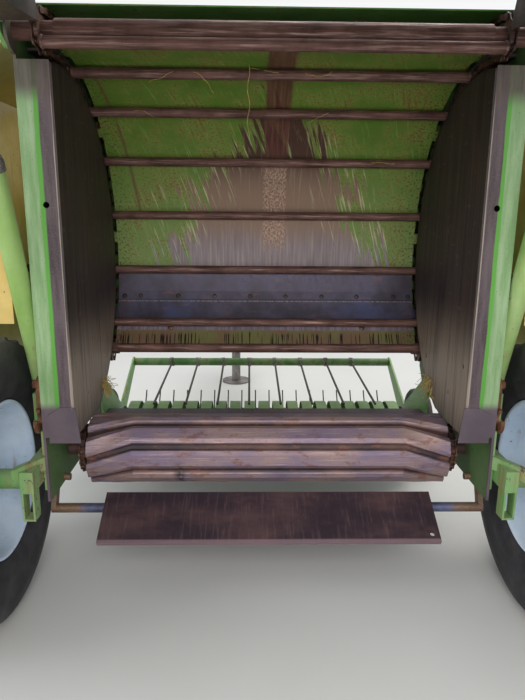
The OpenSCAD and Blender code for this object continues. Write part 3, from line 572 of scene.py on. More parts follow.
def plate_finish(name, gate=False):
    """The outer side plates: green outside, with the banded flange behind; the tailgate's have no flange."""
    p = Paint(name)
    side = abs(p.x)
    cloud = p.noise(0.18, 5)
    streaks = p.noise(0.02, 5, 0.62, (1, 1, 10))
    fine = p.noise(0.005, 3)
    green = p.mix(cloud.rise(0.3, 0.7), rgb(92, 148, 66), rgb(132, 176, 108))
    green = p.mix((streaks + cloud * 0.4).rise(0.86, 1.04) * 0.7, green, RUST_LIGHT)
    chips = (p.noise(0.02, 6, 0.7) + cloud * 0.3).rise(0.80, 0.83)
    green = p.mix(chips, green, RUST_DARK)
    if gate:
        stained = p.mix(streaks.rise(0.36, 0.68), rgb(56, 46, 42), rgb(84, 72, 66))
        stained = p.mix(fine.rise(0.52, 0.70) * 0.5, stained, rgb(116, 100, 90))
        colour = p.mix(side.rise(WALL_X + 0.0005, WALL_X + 0.0015), stained, green)
    else:
        on_flange = p.y.rise(FLANGE_Y + 0.002, FLANGE_Y - 0.002)
        colour = p.mix(on_flange, green, flange_bands(p, side, streaks, cloud, fine))
        inner_face = side.rise(WALL_X + 0.0025, WALL_X + 0.0015) * (1 - on_flange)
        colour = p.mix(inner_face * 0.6, colour, rgb(54, 50, 44))
    height = fine * 0.3 + (1 - chips) * 0.4 + streaks * 0.3
    return p.close(colour, 0.44 + cloud * 0.2 + chips * 0.2, 0.08, height, 0.0007)


def rust_finish(name, dark, mid, polished, streak=(20, 1, 1), shine=0.45):
    """Rusty steel that work keeps rubbing: matt rust in the hollows, polish on the crests."""
    p = Paint(name)
    cloud = p.noise(0.09, 5)
    grain = p.noise(0.0035, 4, 0.7)
    lines = p.noise(0.006, 4, 0.6, streak)
    colour = p.mix(cloud.rise(0.3, 0.68), dark, mid)
    colour = p.mix(lines.rise(0.46, 0.70) * 0.7, colour, polished)
    colour = p.mix(grain.rise(0.60, 0.72) * 0.6, colour, dark)
    roughness = 0.62 - lines.rise(0.4, 0.7) * 0.24 + grain * 0.12
    metal = shine * (0.4 + lines * 0.8)
    return p.close(colour, roughness, metal, grain * 0.6 + lines * 0.4, 0.0007)


stained_disc = disc_finish()
side_plate_paint = plate_finish("side_plate_paint")
gate_side_paint = plate_finish("gate_side_paint", gate=True)
slat_rust = rust_finish("slat_rust", rgb(78, 50, 44), rgb(116, 82, 74), rgb(156, 126, 118))
chain_rust = rust_finish("chain_rust", rgb(48, 34, 30), rgb(92, 62, 48), rgb(128, 96, 76), (2, 2, 2))
hook_rust = rust_finish("hook_rust", rgb(86, 52, 36), rgb(126, 84, 58), rgb(160, 122, 92), (2, 2, 6))
shaft_steel = rust_finish("shaft_steel", rgb(44, 38, 38), rgb(72, 62, 60), rgb(110, 100, 98), (16, 1, 1))
print("discs, flanges and slats are finished")

# %% [markdown]
# ## Feed roller and ramp
#
# The ribbed feed roller grips the crop. Its rib tops are worn to a violet-brown shine and its grooves
# keep dark rust, so the colour follows the distance from the roller's own axis. The ramp below it is a
# dark plate on which finished bales roll off; its lip is rubbed lighter.


# %% Roller and ramp
ROLLER = Vector(joints["feed_roller_spin"]["pos_m"])
GUARD = Vector(joints["windguard_lift"]["pos_m"])
CORE_R, RIB_R = 0.104, 0.120  # radii of the roller between its ribs and over them
LIP_Y = -0.8462  # the ramp is fully rubbed from here on to its rear edge


def roller_finish():
    """Dark rust in the grooves, a violet-brown shine on the ribs, and one oil stain."""
    p = Paint("roller_wear")
    y, z = p.y - ROLLER.y, p.z - ROLLER.z
    radius = (y * y + z * z) ** 0.5
    lie = p.spot(p.x, y.towards(z) * RIB_R, 0.0)
    cloud = p.noise(0.10, 5, 0.6, (2, 1, 1))
    crest = (radius + (cloud - 0.5) * 0.008).rise(CORE_R, RIB_R - 0.003)
    lines = p.noise(0.006, 4, 0.6, (22, 1, 1), lie)
    groove = p.mix(cloud.rise(0.35, 0.7), rgb(40, 30, 36), rgb(88, 58, 52))
    worn = p.mix(cloud.rise(0.35, 0.68), rgb(128, 112, 134), rgb(158, 132, 126))
    colour = p.mix(crest, groove, worn)
    colour = p.mix(lines.rise(0.52, 0.72) * crest * 0.6, colour, rgb(190, 168, 160))
    rust = p.noise(0.035, 6, 0.72, (2, 1, 1)).rise(0.54, 0.64)
    colour = p.mix(rust * 0.6, colour, rgb(120, 76, 58))
    colour = p.mix(p.noise(0.006, 4, 0.7).rise(0.58, 0.72) * 0.5, colour, rgb(78, 54, 48))
    oil = p.x.hill(-0.300, 0.030) * (z * -1).rise(-0.01, 0.04) * p.noise(0.02, 4, place=lie).rise(0.35, 0.55)
    colour = p.mix(oil * 0.85, colour, rgb(34, 28, 32))
    height = lines * 0.5 + p.noise(0.004, 3, 0.7) * 0.5
    return p.close(colour, 0.58 - crest * 0.14, 0.2 + crest * 0.3, height, 0.0009)


def ramp_finish():
    """The ramp's dark plate, with a lighter lip."""
    p = Paint("ramp_wear")
    cloud = p.noise(0.12, 6, 0.65, (2, 1, 1))
    grain = p.noise(0.005, 4, 0.7)
    lines = p.noise(0.008, 4, 0.6, (1, 12, 12))
    colour = p.mix(cloud.rise(0.35, 0.68), rgb(50, 38, 48), rgb(88, 64, 66))
    colour = p.mix(lines.rise(0.5, 0.7) * 0.4, colour, rgb(110, 86, 88))
    colour = p.mix(grain.rise(0.62, 0.74), colour, rgb(126, 84, 64))
    lip = (p.y - LIP_Y).rise(0.006, 0.0)
    colour = p.mix(lip * 0.6, colour, rgb(158, 132, 140))
    return p.close(colour, 0.52 + cloud * 0.2, 0.35, grain * 0.5 + cloud * 0.5, 0.0009)


def bar_finish():
    """The ramp's bar: blue-black in the middle, rusty where it leaves the side plates."""
    p = Paint("ramp_bar_wear")
    cloud = p.noise(0.07, 5)
    grain = p.noise(0.004, 4, 0.7)
    colour = p.mix(cloud.rise(0.35, 0.65), rgb(46, 44, 58), rgb(92, 98, 128))
    ends = abs(p.x).rise(0.60, 0.645)
    colour = p.mix(ends * 0.8, colour, p.mix(grain.rise(0.4, 0.6), rgb(112, 72, 50), rgb(132, 112, 76)))
    colour = p.mix(grain.rise(0.6, 0.72) * 0.7, colour, rgb(84, 58, 46))
    return p.close(colour, 0.5, 0.3, grain, 0.0006)


def guard_finish():
    """The windguard: its tube keeps some green, its wires are dark spring steel."""
    p = Paint("guard_wear")
    cloud = p.noise(0.08, 5)
    grain = p.noise(0.004, 4, 0.7)
    green = p.mix(cloud.rise(0.35, 0.65), rgb(62, 104, 50), rgb(112, 138, 88))
    green = p.mix((cloud + grain * 0.6).rise(0.86, 0.98) * 0.8, green, rgb(86, 64, 48))
    wires = p.y.rise(GUARD.y - 0.020, GUARD.y - 0.024)
    colour = p.mix(wires, green, p.mix(grain.rise(0.35, 0.65), rgb(34, 34, 32), rgb(84, 74, 62)))
    return p.close(colour, 0.5 + grain * 0.2, wires * 0.3, grain, 0.0005)


roller_wear, ramp_wear, ramp_bar_wear = roller_finish(), ramp_finish(), bar_finish()
guard_wear = guard_finish()
print("roller and ramp are finished")

# %% [markdown]
# ## Rubber, plastic and plated steel
#
# Tyre rubber goes grey-brown with dust, more so low down and in the grooves. The guard of the drive
# shaft is a moulded plastic tube with a satin face. The cylinder rods are ground and hard-chromed, the
# one clean shiny thing here, with fine rings from the seals.


# %% Rubber, plastic, chrome and castings
def tyre_finish():
    """Grey-brown rubber, dusty on the tread, with fine rings on the walls."""
    p = Paint("tyre_rubber")
    hub = Vector(joints["wheel_spin_left"]["pos_m"])
    y, z = p.y - hub.y, p.z - hub.z
    radius = (y * y + z * z) ** 0.5
    cloud = p.noise(0.07, 5)
    grain = p.noise(0.003, 3, 0.7)
    rings = (radius * 900).sine() * 0.5 + 0.5
    colour = p.mix(cloud.rise(0.35, 0.7), rgb(36, 35, 40), rgb(60, 57, 60))
    dusty = (cloud * 0.8 + radius.rise(0.36, 0.43) * 0.5).rise(0.45, 0.95)
    colour = p.mix(dusty * 0.45, colour, rgb(98, 92, 86))
    height = grain * 0.5 + rings * radius.hill(0.30, 0.03) * 0.3
    return p.close(colour, 0.72 + dusty * 0.2, 0.0, height, 0.0006)


def hose_finish():
    """Black hose rubber with a grain and some dust."""
    p = Paint("hose_rubber")
    grain = p.noise(0.002, 3, 0.7)
    cloud = p.noise(0.04, 4)
    colour = p.mix(cloud.rise(0.35, 0.7), rgb(34, 34, 38), rgb(72, 68, 66))
    return p.close(colour, 0.62 + cloud * 0.15, 0.0, grain, 0.0003)


def plastic_finish():
    """Satin moulded plastic, scuffed along the tube."""
    p = Paint("guard_plastic")
    cloud = p.noise(0.10, 5)
    scuff = p.noise(0.004, 3, 0.6, (1, 10, 1))
    colour = p.mix(cloud.rise(0.3, 0.7), rgb(30, 30, 32), rgb(52, 51, 52))
    colour = p.mix(scuff.rise(0.58, 0.72) * 0.6, colour, rgb(98, 94, 90))
    return p.close(colour, 0.40 + cloud * 0.2 + scuff * 0.12, 0.0, scuff, 0.0004)


def chrome_finish():
    """Hard chrome with a few smears and specks of rust."""
    p = Paint("ground_chrome")
    rings = p.noise(0.0015, 3, 0.6, (1, 1, 1))
    smear = p.noise(0.05, 5, 0.6, (1, 1, 3))
    colour = p.mix(smear.rise(0.4, 0.7) * 0.6, rgb(206, 208, 212), rgb(158, 152, 142))
    colour = p.mix(rings.rise(0.68, 0.76) * 0.6, colour, rgb(116, 86, 62))
    return p.close(colour, 0.12 + smear.rise(0.4, 0.7) * 0.22, 0.95, rings * 0.3 + smear * 0.2, 0.0002)


def cast_finish():
    """Painted castings with a sandy skin and an oily lower half."""
    p = Paint("cast_green")
    cloud = p.noise(0.09, 5)
    sand = p.noise(0.0035, 4, 0.75)
    colour = p.mix(cloud.rise(0.3, 0.7), rgb(72, 120, 54), rgb(104, 146, 82))
    colour = p.mix((cloud + sand * 0.6).rise(0.90, 1.02), colour, rgb(58, 46, 38))
    oily = p.z.rise(0.80, 0.70) * p.noise(0.05, 4).rise(0.4, 0.7)
    colour = p.mix(oily * 0.75, colour, rgb(40, 36, 30))
    return p.close(colour, 0.6 - oily * 0.25, 0.0, sand, 0.0012)


tyre_rubber, hose_rubber, guard_plastic = tyre_finish(), hose_finish(), plastic_finish()
ground_chrome, cast_green = chrome_finish(), cast_finish()
bolt_zinc = rust_finish("bolt_zinc", rgb(86, 78, 76), rgb(132, 126, 124), rgb(176, 172, 168), (1, 1, 1), 0.7)
print("rubber, plastic, chrome and castings are finished")

# %% [markdown]
# ## Dressing the solids
#
# A solid whose shape is right keeps its mesh and only gets a finish. The table below names one finish
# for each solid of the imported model.

# %% Finishes for the solids
FINISH_OF = {
    "front_sheet": front_sheet_wear, "front_cover": old_green, "side_wall": side_plate_paint,
    "chamber_disc": stained_disc, "chain_guides": shaft_steel, "pivot_shaft": slat_rust,
    "lower_shaft": slat_rust, "tail_shaft": shaft_steel, "slat_chain": slat_rust,
    "throat_floor": ramp_wear, "axle": axle_green, "latch_hooks": hook_rust, "drawbar": old_green,
    "jack_sleeve": old_green, "jack_leg": bolt_zinc, "gearbox": cast_green, "pto_shaft": guard_plastic,
    "drive_chain": chain_rust, "twine": ochre, "hose": hose_rubber, "feed_roller": roller_wear,
    "ramp_bar": ramp_bar_wear, "ramp_plate": ramp_wear, "tyre": tyre_rubber, "rim": rim_white,
    "tailgate_side": gate_side_paint, "tailgate_sheets": gate_sheet_wear, "tailgate_beams": old_green,
    "barrel": barrel_green, "rod": ground_chrome, "pickup_frame": old_green, "strippers": old_green,
    "pickup_reel": shaft_steel, "windguard": guard_wear, "gauge_wheel": tyre_rubber, "hood": ochre,
}


def finish_of(node_name):
    """The finish whose key is the longest that starts the node's name."""
    return FINISH_OF[max((key for key in FINISH_OF if node_name.startswith(key)), key=len)]


for node_name, solid in nodes.items():
    solid.data.materials.clear()
    solid.data.materials.append(finish_of(node_name))
print("dressed", len(nodes), "solids")

# %% [markdown]
# ## Shapes from corners and faces
#
# The solids carry the main shapes. Bolts, links, lugs and fittings come from a few small builders that
# return corners and faces. They can be placed, joined and then made into one closed mesh with its
# normals outward. A lathe turns a profile about the X axis, because every shaft here lies across.

# %% Shape builders
def placed(shape, matrix):
    """The same shape, moved by a matrix."""
    return [matrix @ corner for corner in shape[0]], shape[1]


def aimed(place, towards):
    """The matrix that puts a shape at a place and points its X axis in a direction."""
    return Matrix.Translation(place) @ Vector(towards).to_track_quat("X", "Z").to_matrix().to_4x4()


def circle(place, radius, angles):
    """Places at angles, in radians, round a line that runs across the machine through a place."""
    return [Vector(place) + radius * Vector((0, math.cos(a), math.sin(a))) for a in angles]


def together(shapes):
    """Several shapes as one."""
    corners, faces = [], []
    for some_corners, some_faces in shapes:
        start = len(corners)
        corners += some_corners
        faces += [[start + index for index in face] for face in some_faces]
    return corners, faces


def lathe(profile, sides=32, ring=False):
    """A profile of (along X, radius) turned about the X axis; a ring joins its last point to its first."""
    turns = [2 * math.pi * k / sides for k in range(sides)]
    corners = [Vector((x, r * math.cos(a), r * math.sin(a))) for x, r in profile for a in turns]
    rows = len(profile)
    faces = []
    for i in range(rows if ring else rows - 1):
        a, b = i * sides, (i + 1) % rows * sides
        faces += [[a + k, a + (k + 1) % sides, b + (k + 1) % sides, b + k] for k in range(sides)]
    if not ring:
        faces += [list(range(sides)), [(rows - 1) * sides + k for k in range(sides)]]
    return corners, faces


def tube(path, radius, sides=8):
    """A round tube along a list of points, carried without twist, with closed ends."""
    path = [Vector(point) for point in path]
    along = [(path[min(i + 1, len(path) - 1)] - path[max(i - 1, 0)]).normalized() for i in range(len(path))]
    across = along[0].orthogonal().normalized()
    corners = []
    for point, way in zip(path, along):
        across = (across - way * across.dot(way)).normalized()
        other = way.cross(across)
        for k in range(sides):
            a = 2 * math.pi * k / sides
            corners.append(point + radius * (across * math.cos(a) + other * math.sin(a)))
    faces = [
        [i * sides + k, i * sides + (k + 1) % sides, (i + 1) * sides + (k + 1) % sides, (i + 1) * sides + k]
        for i in range(len(path) - 1)
        for k in range(sides)
    ]
    return corners, faces + [list(range(sides)), [(len(path) - 1) * sides + k for k in range(sides)]]


def plate(outline, low, high):
    """An outline of (y, z) points drawn out along X from low to high."""
    count = len(outline)
    corners = [Vector((x, y, z)) for x in (low, high) for y, z in outline]
    sides = [[k, (k + 1) % count, count + (k + 1) % count, count + k] for k in range(count)]
    return corners, sides + [list(range(count)), [count + k for k in range(count)]]


def block(low, high):
    """A box between two of its corners."""
    (x0, y0, z0), (x1, y1, z1) = low, high
    return plate([(y0, z0), (y1, z0), (y1, z1), (y0, z1)], x0, x1)


def hexagon(across_flats, height, sides=6):
    """A nut or bolt head that stands on the origin and points along X, with a chamfered top."""
    r = across_flats / 2 / math.cos(math.pi / sides)
    return lathe([(0, r), (height * 0.8, r), (height, r * 0.86)], sides)


def dome(radius, height, sides=16):
    """A round bolt head that stands on the origin and points along X."""
    steps = [(math.sin(a) * height, math.cos(a) * radius) for a in (0, 0.35, 0.7, 1.05, 1.4)]
    return lathe([(-0.001, radius)] + steps, sides)


SIXTHS = [k * math.pi / 3 for k in range(6)]
print("the shape builders are ready")

# %% [markdown]
# A piece is made once from its shapes: corners are joined, edges may be bevelled, normals are turned
# outward and shading is smooth up to an angle.


# %% Making a piece
def finish_mesh(mesh, bevel=0.0, smooth=38):
    """Bevel the sharp edges if asked, turn the normals outward and shade smooth up to an angle."""
    work = bmesh.new()
    work.from_mesh(mesh)
    if bevel:
        sharp = [edge for edge in work.edges if edge.calc_face_angle(0) > 0.6]
        bmesh.ops.bevel(work, geom=sharp, offset=bevel, segments=2, affect="EDGES", clamp_overlap=True)
    bmesh.ops.recalc_face_normals(work, faces=work.faces)
    work.to_mesh(mesh)
    work.free()
    mesh.shade_smooth()
    mesh.set_sharp_from_angle(angle=math.radians(smooth))


def settle(piece, body, replaces=()):
    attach(piece, body)
    if replaces:
        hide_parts(*replaces)
    return piece


def new_object(name, corners, faces):
    """An object at the origin with its place in its mesh."""
    mesh = bpy.data.meshes.new(name)
    mesh.from_pydata(corners, [], faces)
    piece = bpy.data.objects.new(name, mesh)
    bpy.context.scene.collection.objects.link(piece)
    return piece


def make(name, body, finish, shapes, smooth=38, replaces=()):
    """A finished piece made of several shapes."""
    piece = new_object(name, *together(shapes))
    finish_mesh(piece.data, smooth=smooth)
    piece.data.materials.append(finish)
    return settle(piece, body, replaces)


print("pieces can be made")

# %% [markdown]
# ## Recipes for repeats
#
# Bolts, tines and lugs repeat, so they are grown by Geometry Nodes. A recipe is a node tree with named
# inputs that is built once. Its modifier gets its values by socket identifier, the result is baked to a
# plain mesh, and the modifier is gone before the piece is handed over. The first recipe copies a part
# to marked places, each with its own turn; a seed varies spin and size a little, as a fitter does.


# %% A recipe that copies a part to marked places
class Recipe(Bench):
    """A Geometry Nodes tree with named inputs."""

    def __init__(self, name, inputs):
        super().__init__(bpy.data.node_groups.new(name, "GeometryNodeTree"))
        self.identifiers = {}
        for label, kind in inputs:
            socket = self.tree.interface.new_socket(label, in_out="INPUT", socket_type="NodeSocket" + kind)
            self.identifiers[label] = socket.identifier
        self.tree.interface.new_socket("Result", in_out="OUTPUT", socket_type="NodeSocketGeometry")
        self.given = self.node("NodeGroupInput").outputs

    def serve(self, geometry, finish):
        """Turn the copies into a plain mesh with one material."""
        plain = self.node("GeometryNodeRealizeInstances", None, {0: geometry})
        dressed = {"Geometry": plain.outputs[0], "Material": finish}
        painted = self.node("GeometryNodeSetMaterial", None, dressed)
        self.node("NodeGroupOutput", None, {0: painted.outputs[0]})

    def bake(self, holder, values):
        """Run the recipe on an object and leave it with the plain mesh that comes out."""
        modifier = holder.modifiers.new("recipe", "NODES")
        modifier.node_group = self.tree
        for label, value in values.items():
            modifier[self.identifiers[label]] = value
        graph = bpy.context.evaluated_depsgraph_get()
        grown = bpy.data.meshes.new_from_object(holder.evaluated_get(graph))
        holder.modifiers.remove(modifier)
        holder.data = grown
        return holder


copier = Recipe("copies_at_places", [
    ("Places", "Geometry"), ("Part", "Object"), ("Finish", "Material"),
    ("Seed", "Int"), ("Spin", "Float"), ("Vary", "Float"),
])
turn = copier.node("GeometryNodeInputNamedAttribute", {"data_type": "FLOAT_VECTOR"}, {"Name": "turn"})
part = copier.node("GeometryNodeObjectInfo", None, {"Object": copier.given["Part"]})
vary = Number(copier, copier.given["Vary"])
FLOATS = {"data_type": "FLOAT"}
seed_socket = copier.given["Seed"]
size = copier.node("FunctionNodeRandomValue", FLOATS, {2: 1 - vary, 3: 1 + vary, "Seed": seed_socket})
copies = copier.node("GeometryNodeInstanceOnPoints", None, {
    "Points": copier.given["Places"], "Instance": part.outputs["Geometry"],
    "Rotation": turn.outputs[0], "Scale": size.outputs[1],
})
spin = copier.node("FunctionNodeRandomValue", FLOATS, {2: 0.0, 3: copier.given["Spin"], "Seed": seed_socket})
about_own_axis = copier.node("ShaderNodeCombineXYZ", None, {0: spin.outputs[1]})
turned = copier.node("GeometryNodeRotateInstances", None, {
    "Instances": copies.outputs[0], "Rotation": about_own_axis.outputs[0],
})
copier.serve(turned.outputs[0], copier.given["Finish"])


def copy_to(name, body, finish, part_shapes, places, spin=0.0, vary=0.0, seed=7):
    """Copies of a part that points along X, each at a place with a direction for its X axis."""
    sample = new_object(name + "_part", *together(part_shapes))
    finish_mesh(sample.data)
    holder = new_object(name, [Vector(place) for place, _ in places], [])
    turns = holder.data.attributes.new("turn", "FLOAT_VECTOR", "POINT")
    for index, (_, towards) in enumerate(places):
        turns.data[index].vector = Vector(towards).to_track_quat("X", "Z").to_euler()
    copier.bake(holder, {"Part": sample, "Finish": finish, "Seed": seed, "Spin": spin, "Vary": vary})
    bpy.data.objects.remove(sample)
    return settle(holder, body)


print("the copier is ready")

# %% [markdown]
# ## The second recipe: lugs round a tyre
#
# Here the tree works out the places itself. A line of points is numbered; the number gives the angle,
# and every second lug is turned about its own radius so that it leans the other way. The sums are
# written with the same Number class as the paint.

# %% A recipe for a ring of lugs
ring = Recipe("lugs_in_a_ring", [
    ("Places", "Geometry"), ("Part", "Object"), ("Finish", "Material"), ("Count", "Int"),
    ("Radius", "Float"), ("Offset", "Float"), ("Hub", "Vector"),
])
line = ring.node("GeometryNodeMeshLine", None, {"Count": ring.given["Count"]})
number = Number(ring, ring.node("GeometryNodeInputIndex").outputs[0])
angle = number * (2 * math.pi) / Number(ring, ring.given["Count"])
side = (number % 2) * 2 - 1
radius = Number(ring, ring.given["Radius"])
lift = (angle + math.pi / 2).sine()
spot = ring.node("ShaderNodeCombineXYZ", None, {
    0: side * Number(ring, ring.given["Offset"]), 1: radius * lift, 2: radius * angle.sine(),
})
spot = ring.node("ShaderNodeVectorMath", {"operation": "ADD"}, {0: spot.outputs[0], 1: ring.given["Hub"]})
marked = ring.node("GeometryNodeSetPosition", None, {
    "Geometry": line.outputs[0], "Position": spot.outputs[0],
})
lug = ring.node("GeometryNodeObjectInfo", None, {"Object": ring.given["Part"]})
facing = ring.node("ShaderNodeCombineXYZ", None, {0: angle - math.pi / 2})
lugs = ring.node("GeometryNodeInstanceOnPoints", None, {
    "Points": marked.outputs[0], "Instance": lug.outputs["Geometry"], "Rotation": facing.outputs[0],
})
swapped = ring.node("ShaderNodeCombineXYZ", None, {2: (side + 1) * (math.pi / 2)})
leaning = ring.node("GeometryNodeRotateInstances", None, {
    "Instances": lugs.outputs[0], "Rotation": swapped.outputs[0],
})
ring.serve(leaning.outputs[0], ring.given["Finish"])
print("the ring recipe is ready")

# %% [markdown]
# ## Conveyor chains
#
# The slat conveyor is one endless chain on each side with steel tubes between. Its way is a set of arcs:
# down the inner run, round the lower sprocket, up the return run and over the pivot. Pins are set
# along that way at one pitch, and each pair of pins gets two link plates, by turns inside and outside.
# The tailgate's half is worked out as it lies when closed, then turned up about the pivot.

# %% The way of a chain and its links
def walk(arcs, pitch, closed=True):
    """Pins at about one pitch along arcs of (centre, radius, from, to) in degrees."""
    dots = []
    for centre, r, start, end in arcs:
        steps = max(2, int(abs(end - start) / 2))
        for i in range(steps + 1):
            a = math.radians(start + (end - start) * i / steps)
            dots.append(Vector((0, centre.y + r * math.cos(a), centre.z + r * math.sin(a))))
    if closed:
        dots.append(dots[0])
    lengths = [0.0]
    for a, b in zip(dots, dots[1:]):
        lengths.append(lengths[-1] + (b - a).length)
    count = 2 * round(lengths[-1] / pitch / 2)
    pins, k = [], 0
    for n in range(count if closed else count + 1):
        goal = lengths[-1] * n / count
        while k < len(dots) - 2 and lengths[k + 1] < goal:
            k += 1
        share = (goal - lengths[k]) / max(lengths[k + 1] - lengths[k], 1e-9)
        pins.append(dots[k].lerp(dots[k + 1], min(share, 1.0)))
    return pins


def link_outline(a, b, r):
    """The outline of a link plate round two pins, narrower between them."""
    way = (b - a).normalized()
    up = Vector((0, -way.z, way.y))
    middle = (a + b) / 2
    points = [b + r * (way * math.cos(t) + up * math.sin(t)) for t in (-1.5, -0.75, 0.0, 0.75, 1.5)]
    points.append(middle + up * r * 0.68)
    points += [a + r * (-way * math.cos(t) + up * math.sin(t)) for t in (1.5, 0.75, 0.0, -0.75, -1.5)]
    points.append(middle - up * r * 0.68)
    return [(p.y, p.z) for p in points]


def chain(pins, low, high, r=0.010, closed=True, gap=0.0032, thick=0.0028):
    """Links and rollers along pins, between two places on X."""
    shapes = []
    pairs = list(zip(pins, pins[1:] + pins[:1])) if closed else list(zip(pins, pins[1:]))
    for n, (a, b) in enumerate(pairs):
        inset = gap if n % 2 else 0.0
        for x0, x1 in ((low + inset, low + inset + thick), (high - inset - thick, high - inset)):
            shapes.append(plate(link_outline(a, b, r), x0, x1))
    for pin in pins:
        inner = 2 * gap + thick
        barrel = [(low + 0.0003, r * 0.4), (low + inner, r * 0.4), (low + inner, r * 0.72),
                  (high - inner, r * 0.72), (high - inner, r * 0.4), (high - 0.0003, r * 0.4)]
        shapes.append(placed(lathe(barrel, 10), Matrix.Translation(pin)))
    return shapes


PIVOT_WAY = math.degrees(math.atan2(PIVOT.z - CENTRE.z, PIVOT.y - CENTRE.y))
LOWER_WAY, TAIL_WAY = -36.9, 252.0  # directions of the lower and tail shafts from the chamber's axis
MIDDLE_R = SLAT_RUN_R + SPROCKET_R
LOWER = round_centre(MIDDLE_R, LOWER_WAY)
TAIL = round_centre(MIDDLE_R, TAIL_WAY)
GATE_UP = Matrix.Rotation(math.radians(-GATE_OPEN), 4, "X")
GATE_UP = Matrix.Translation(PIVOT) @ GATE_UP @ Matrix.Translation(-PIVOT)
CONVEYOR_PITCH, DRIVE_PITCH = 0.0508, 0.0254  # distance from pin to pin
front_pins = walk([
    (CENTRE, SLAT_RUN_R, PIVOT_WAY, LOWER_WAY), (LOWER, SPROCKET_R, LOWER_WAY + 180, LOWER_WAY + 360),
    (CENTRE, RETURN_R, LOWER_WAY, PIVOT_WAY), (PIVOT, SPROCKET_R, PIVOT_WAY, PIVOT_WAY + 180),
], CONVEYOR_PITCH)
print(len(front_pins), "pins in front")
rear_pins = walk([
    (CENTRE, RETURN_R, 121, TAIL_WAY), (TAIL, SPROCKET_R, TAIL_WAY, TAIL_WAY + 180),
    (CENTRE, SLAT_RUN_R, TAIL_WAY, PIVOT_WAY + 6.4),
], CONVEYOR_PITCH, closed=False)
print(len(rear_pins), "pins behind")

# %% [markdown]
# ## Slats between the chains
#
# Each slat is a tube with a flattened, welded collar at each end. On the longer way back the same pitch is
# a smaller angle, because the chain does not stretch.

# %% Slats, and the conveyor's chains
SLAT_FIRST, SLAT_STEP = 77.6, 21.2  # direction of the highest front slat, and the angle between two slats
STRANDS = ((-0.632, -0.612), (0.612, 0.632))  # where the two strands lie on X


def slat(place):
    """One conveyor slat: a tube with a welded collar at each end."""
    half = [(0.6117, 0.010), (0.6117, 0.0155), (0.5917, 0.016)]
    body = lathe([(-x, r) for x, r in half] + half[::-1], 20)
    collar = [(0.6105, 0.0163), (0.6105, 0.0185), (0.607, 0.0185), (0.604, 0.0163)]
    collars = [lathe([(s * x, r) for x, r in collar], 20) for s, _ in SIDES]
    return [placed(shape, Matrix.Translation(place)) for shape in [body] + collars]


front_slats = [round_centre(SLAT_RUN_R, SLAT_FIRST - i * SLAT_STEP) for i in range(6)]
return_step = SLAT_STEP * SLAT_RUN_R / RETURN_R
front_slats += [round_centre(RETURN_R, -25 + i * return_step) for i in range(7)]
front_slats += circle(PIVOT, SPROCKET_R, [math.radians(-135)])
front_slats += circle(LOWER, SPROCKET_R, [math.radians(20)])
rear_slats = [round_centre(SLAT_RUN_R, 124 + i * SLAT_STEP) for i in range(6)]
rear_slats += [round_centre(RETURN_R, 130 + i * 17.8) for i in range(7)]

make("front_slats", "frame", slat_rust,
     [shape for place in front_slats for shape in slat(place)], smooth=50, replaces=("slat_chain_front",))
make("rear_slats", "tailgate", slat_rust,
     [placed(shape, GATE_UP) for place in rear_slats for shape in slat(place)], smooth=50,
     replaces=("slat_chain_rear",))
make("front_chains", "frame", chain_rust,
     [shape for low, high in STRANDS for shape in chain(front_pins, low, high)])
make("rear_chains", "tailgate", chain_rust,
     [placed(s, GATE_UP) for low, high in STRANDS for s in chain(rear_pins, low, high, closed=False)])
print(len(front_slats), "slats in front,", len(rear_slats), "on the tailgate")

# %% [markdown]
# ## Side drive
#
# On the left side a chain takes the drive from the gearbox to the lower shaft. Its way is two arcs
# and two straight runs; the sprockets get real teeth that stand in the gaps of the chain.


# %% Side drive and roller chains
def sprocket(centre, pitch_r, teeth, low, high):
    """A toothed disc between two places on X."""
    outline = []
    for k in range(teeth):
        for share, r in ((-0.30, -0.0065), (-0.10, 0.0055), (0.10, 0.0055), (0.30, -0.0065)):
            a = 2 * math.pi * (k + share) / teeth
            outline.append((centre.y + (pitch_r + r) * math.cos(a), centre.z + (pitch_r + r) * math.sin(a)))
    return plate(outline, low, high)


TOP_R, LOW_R = 0.090, 0.062  # pitch radii of the two drive sprockets
drive_top = at(0, FRONT_Y + 100, DRIVE_Z)
drive_way = math.degrees(math.atan2(LOWER.z - drive_top.z, LOWER.y - drive_top.y))
drive_off = math.degrees(math.acos((TOP_R - LOW_R) / (LOWER - drive_top).length))
drive_pins = walk([
    (drive_top, TOP_R, drive_way + drive_off, drive_way - drive_off + 360),
    (LOWER, LOW_R, drive_way - drive_off, drive_way + drive_off),
], DRIVE_PITCH)
drive_shapes = chain(drive_pins, -0.7295, -0.7125, 0.0085)
for hub, pitch_r, teeth, collar_r in ((drive_top, TOP_R, 22, 0.045), (LOWER, LOW_R, 15, 0.038)):
    collar = [(-0.7395, 0.0255), (-0.7395, collar_r - 0.004), (-0.736, collar_r), (-0.7255, collar_r),
              (-0.7255, 0.0255)]
    drive_shapes.append(sprocket(hub, pitch_r - 0.0005, teeth, -0.7255, -0.7165))
    drive_shapes.append(placed(lathe(collar, 28, ring=True), Matrix.Translation(hub)))
make("side_drive", "frame", chain_rust, drive_shapes, replaces=("drive_chain",))

roller_pins = circle(ROLLER, 0.0745, [k * math.pi / 9 for k in range(18)])
roller_strands = ((-0.6415, -0.6205), (0.6205, 0.6415))
make("roller_chains", "feed_roller", chain_rust,
     [shape for low, high in roller_strands for shape in chain(roller_pins, low, high, 0.0095)])
print(len(drive_pins), "pins on the side drive")

# %% [markdown]
# ## Wheels
#
# The tyre is a turned casing with a rib along the middle and ridges on its walls; the ring recipe adds
# the lugs. The rim is turned too, dished outward, with a rolled lip, a hub, nuts and a cap.

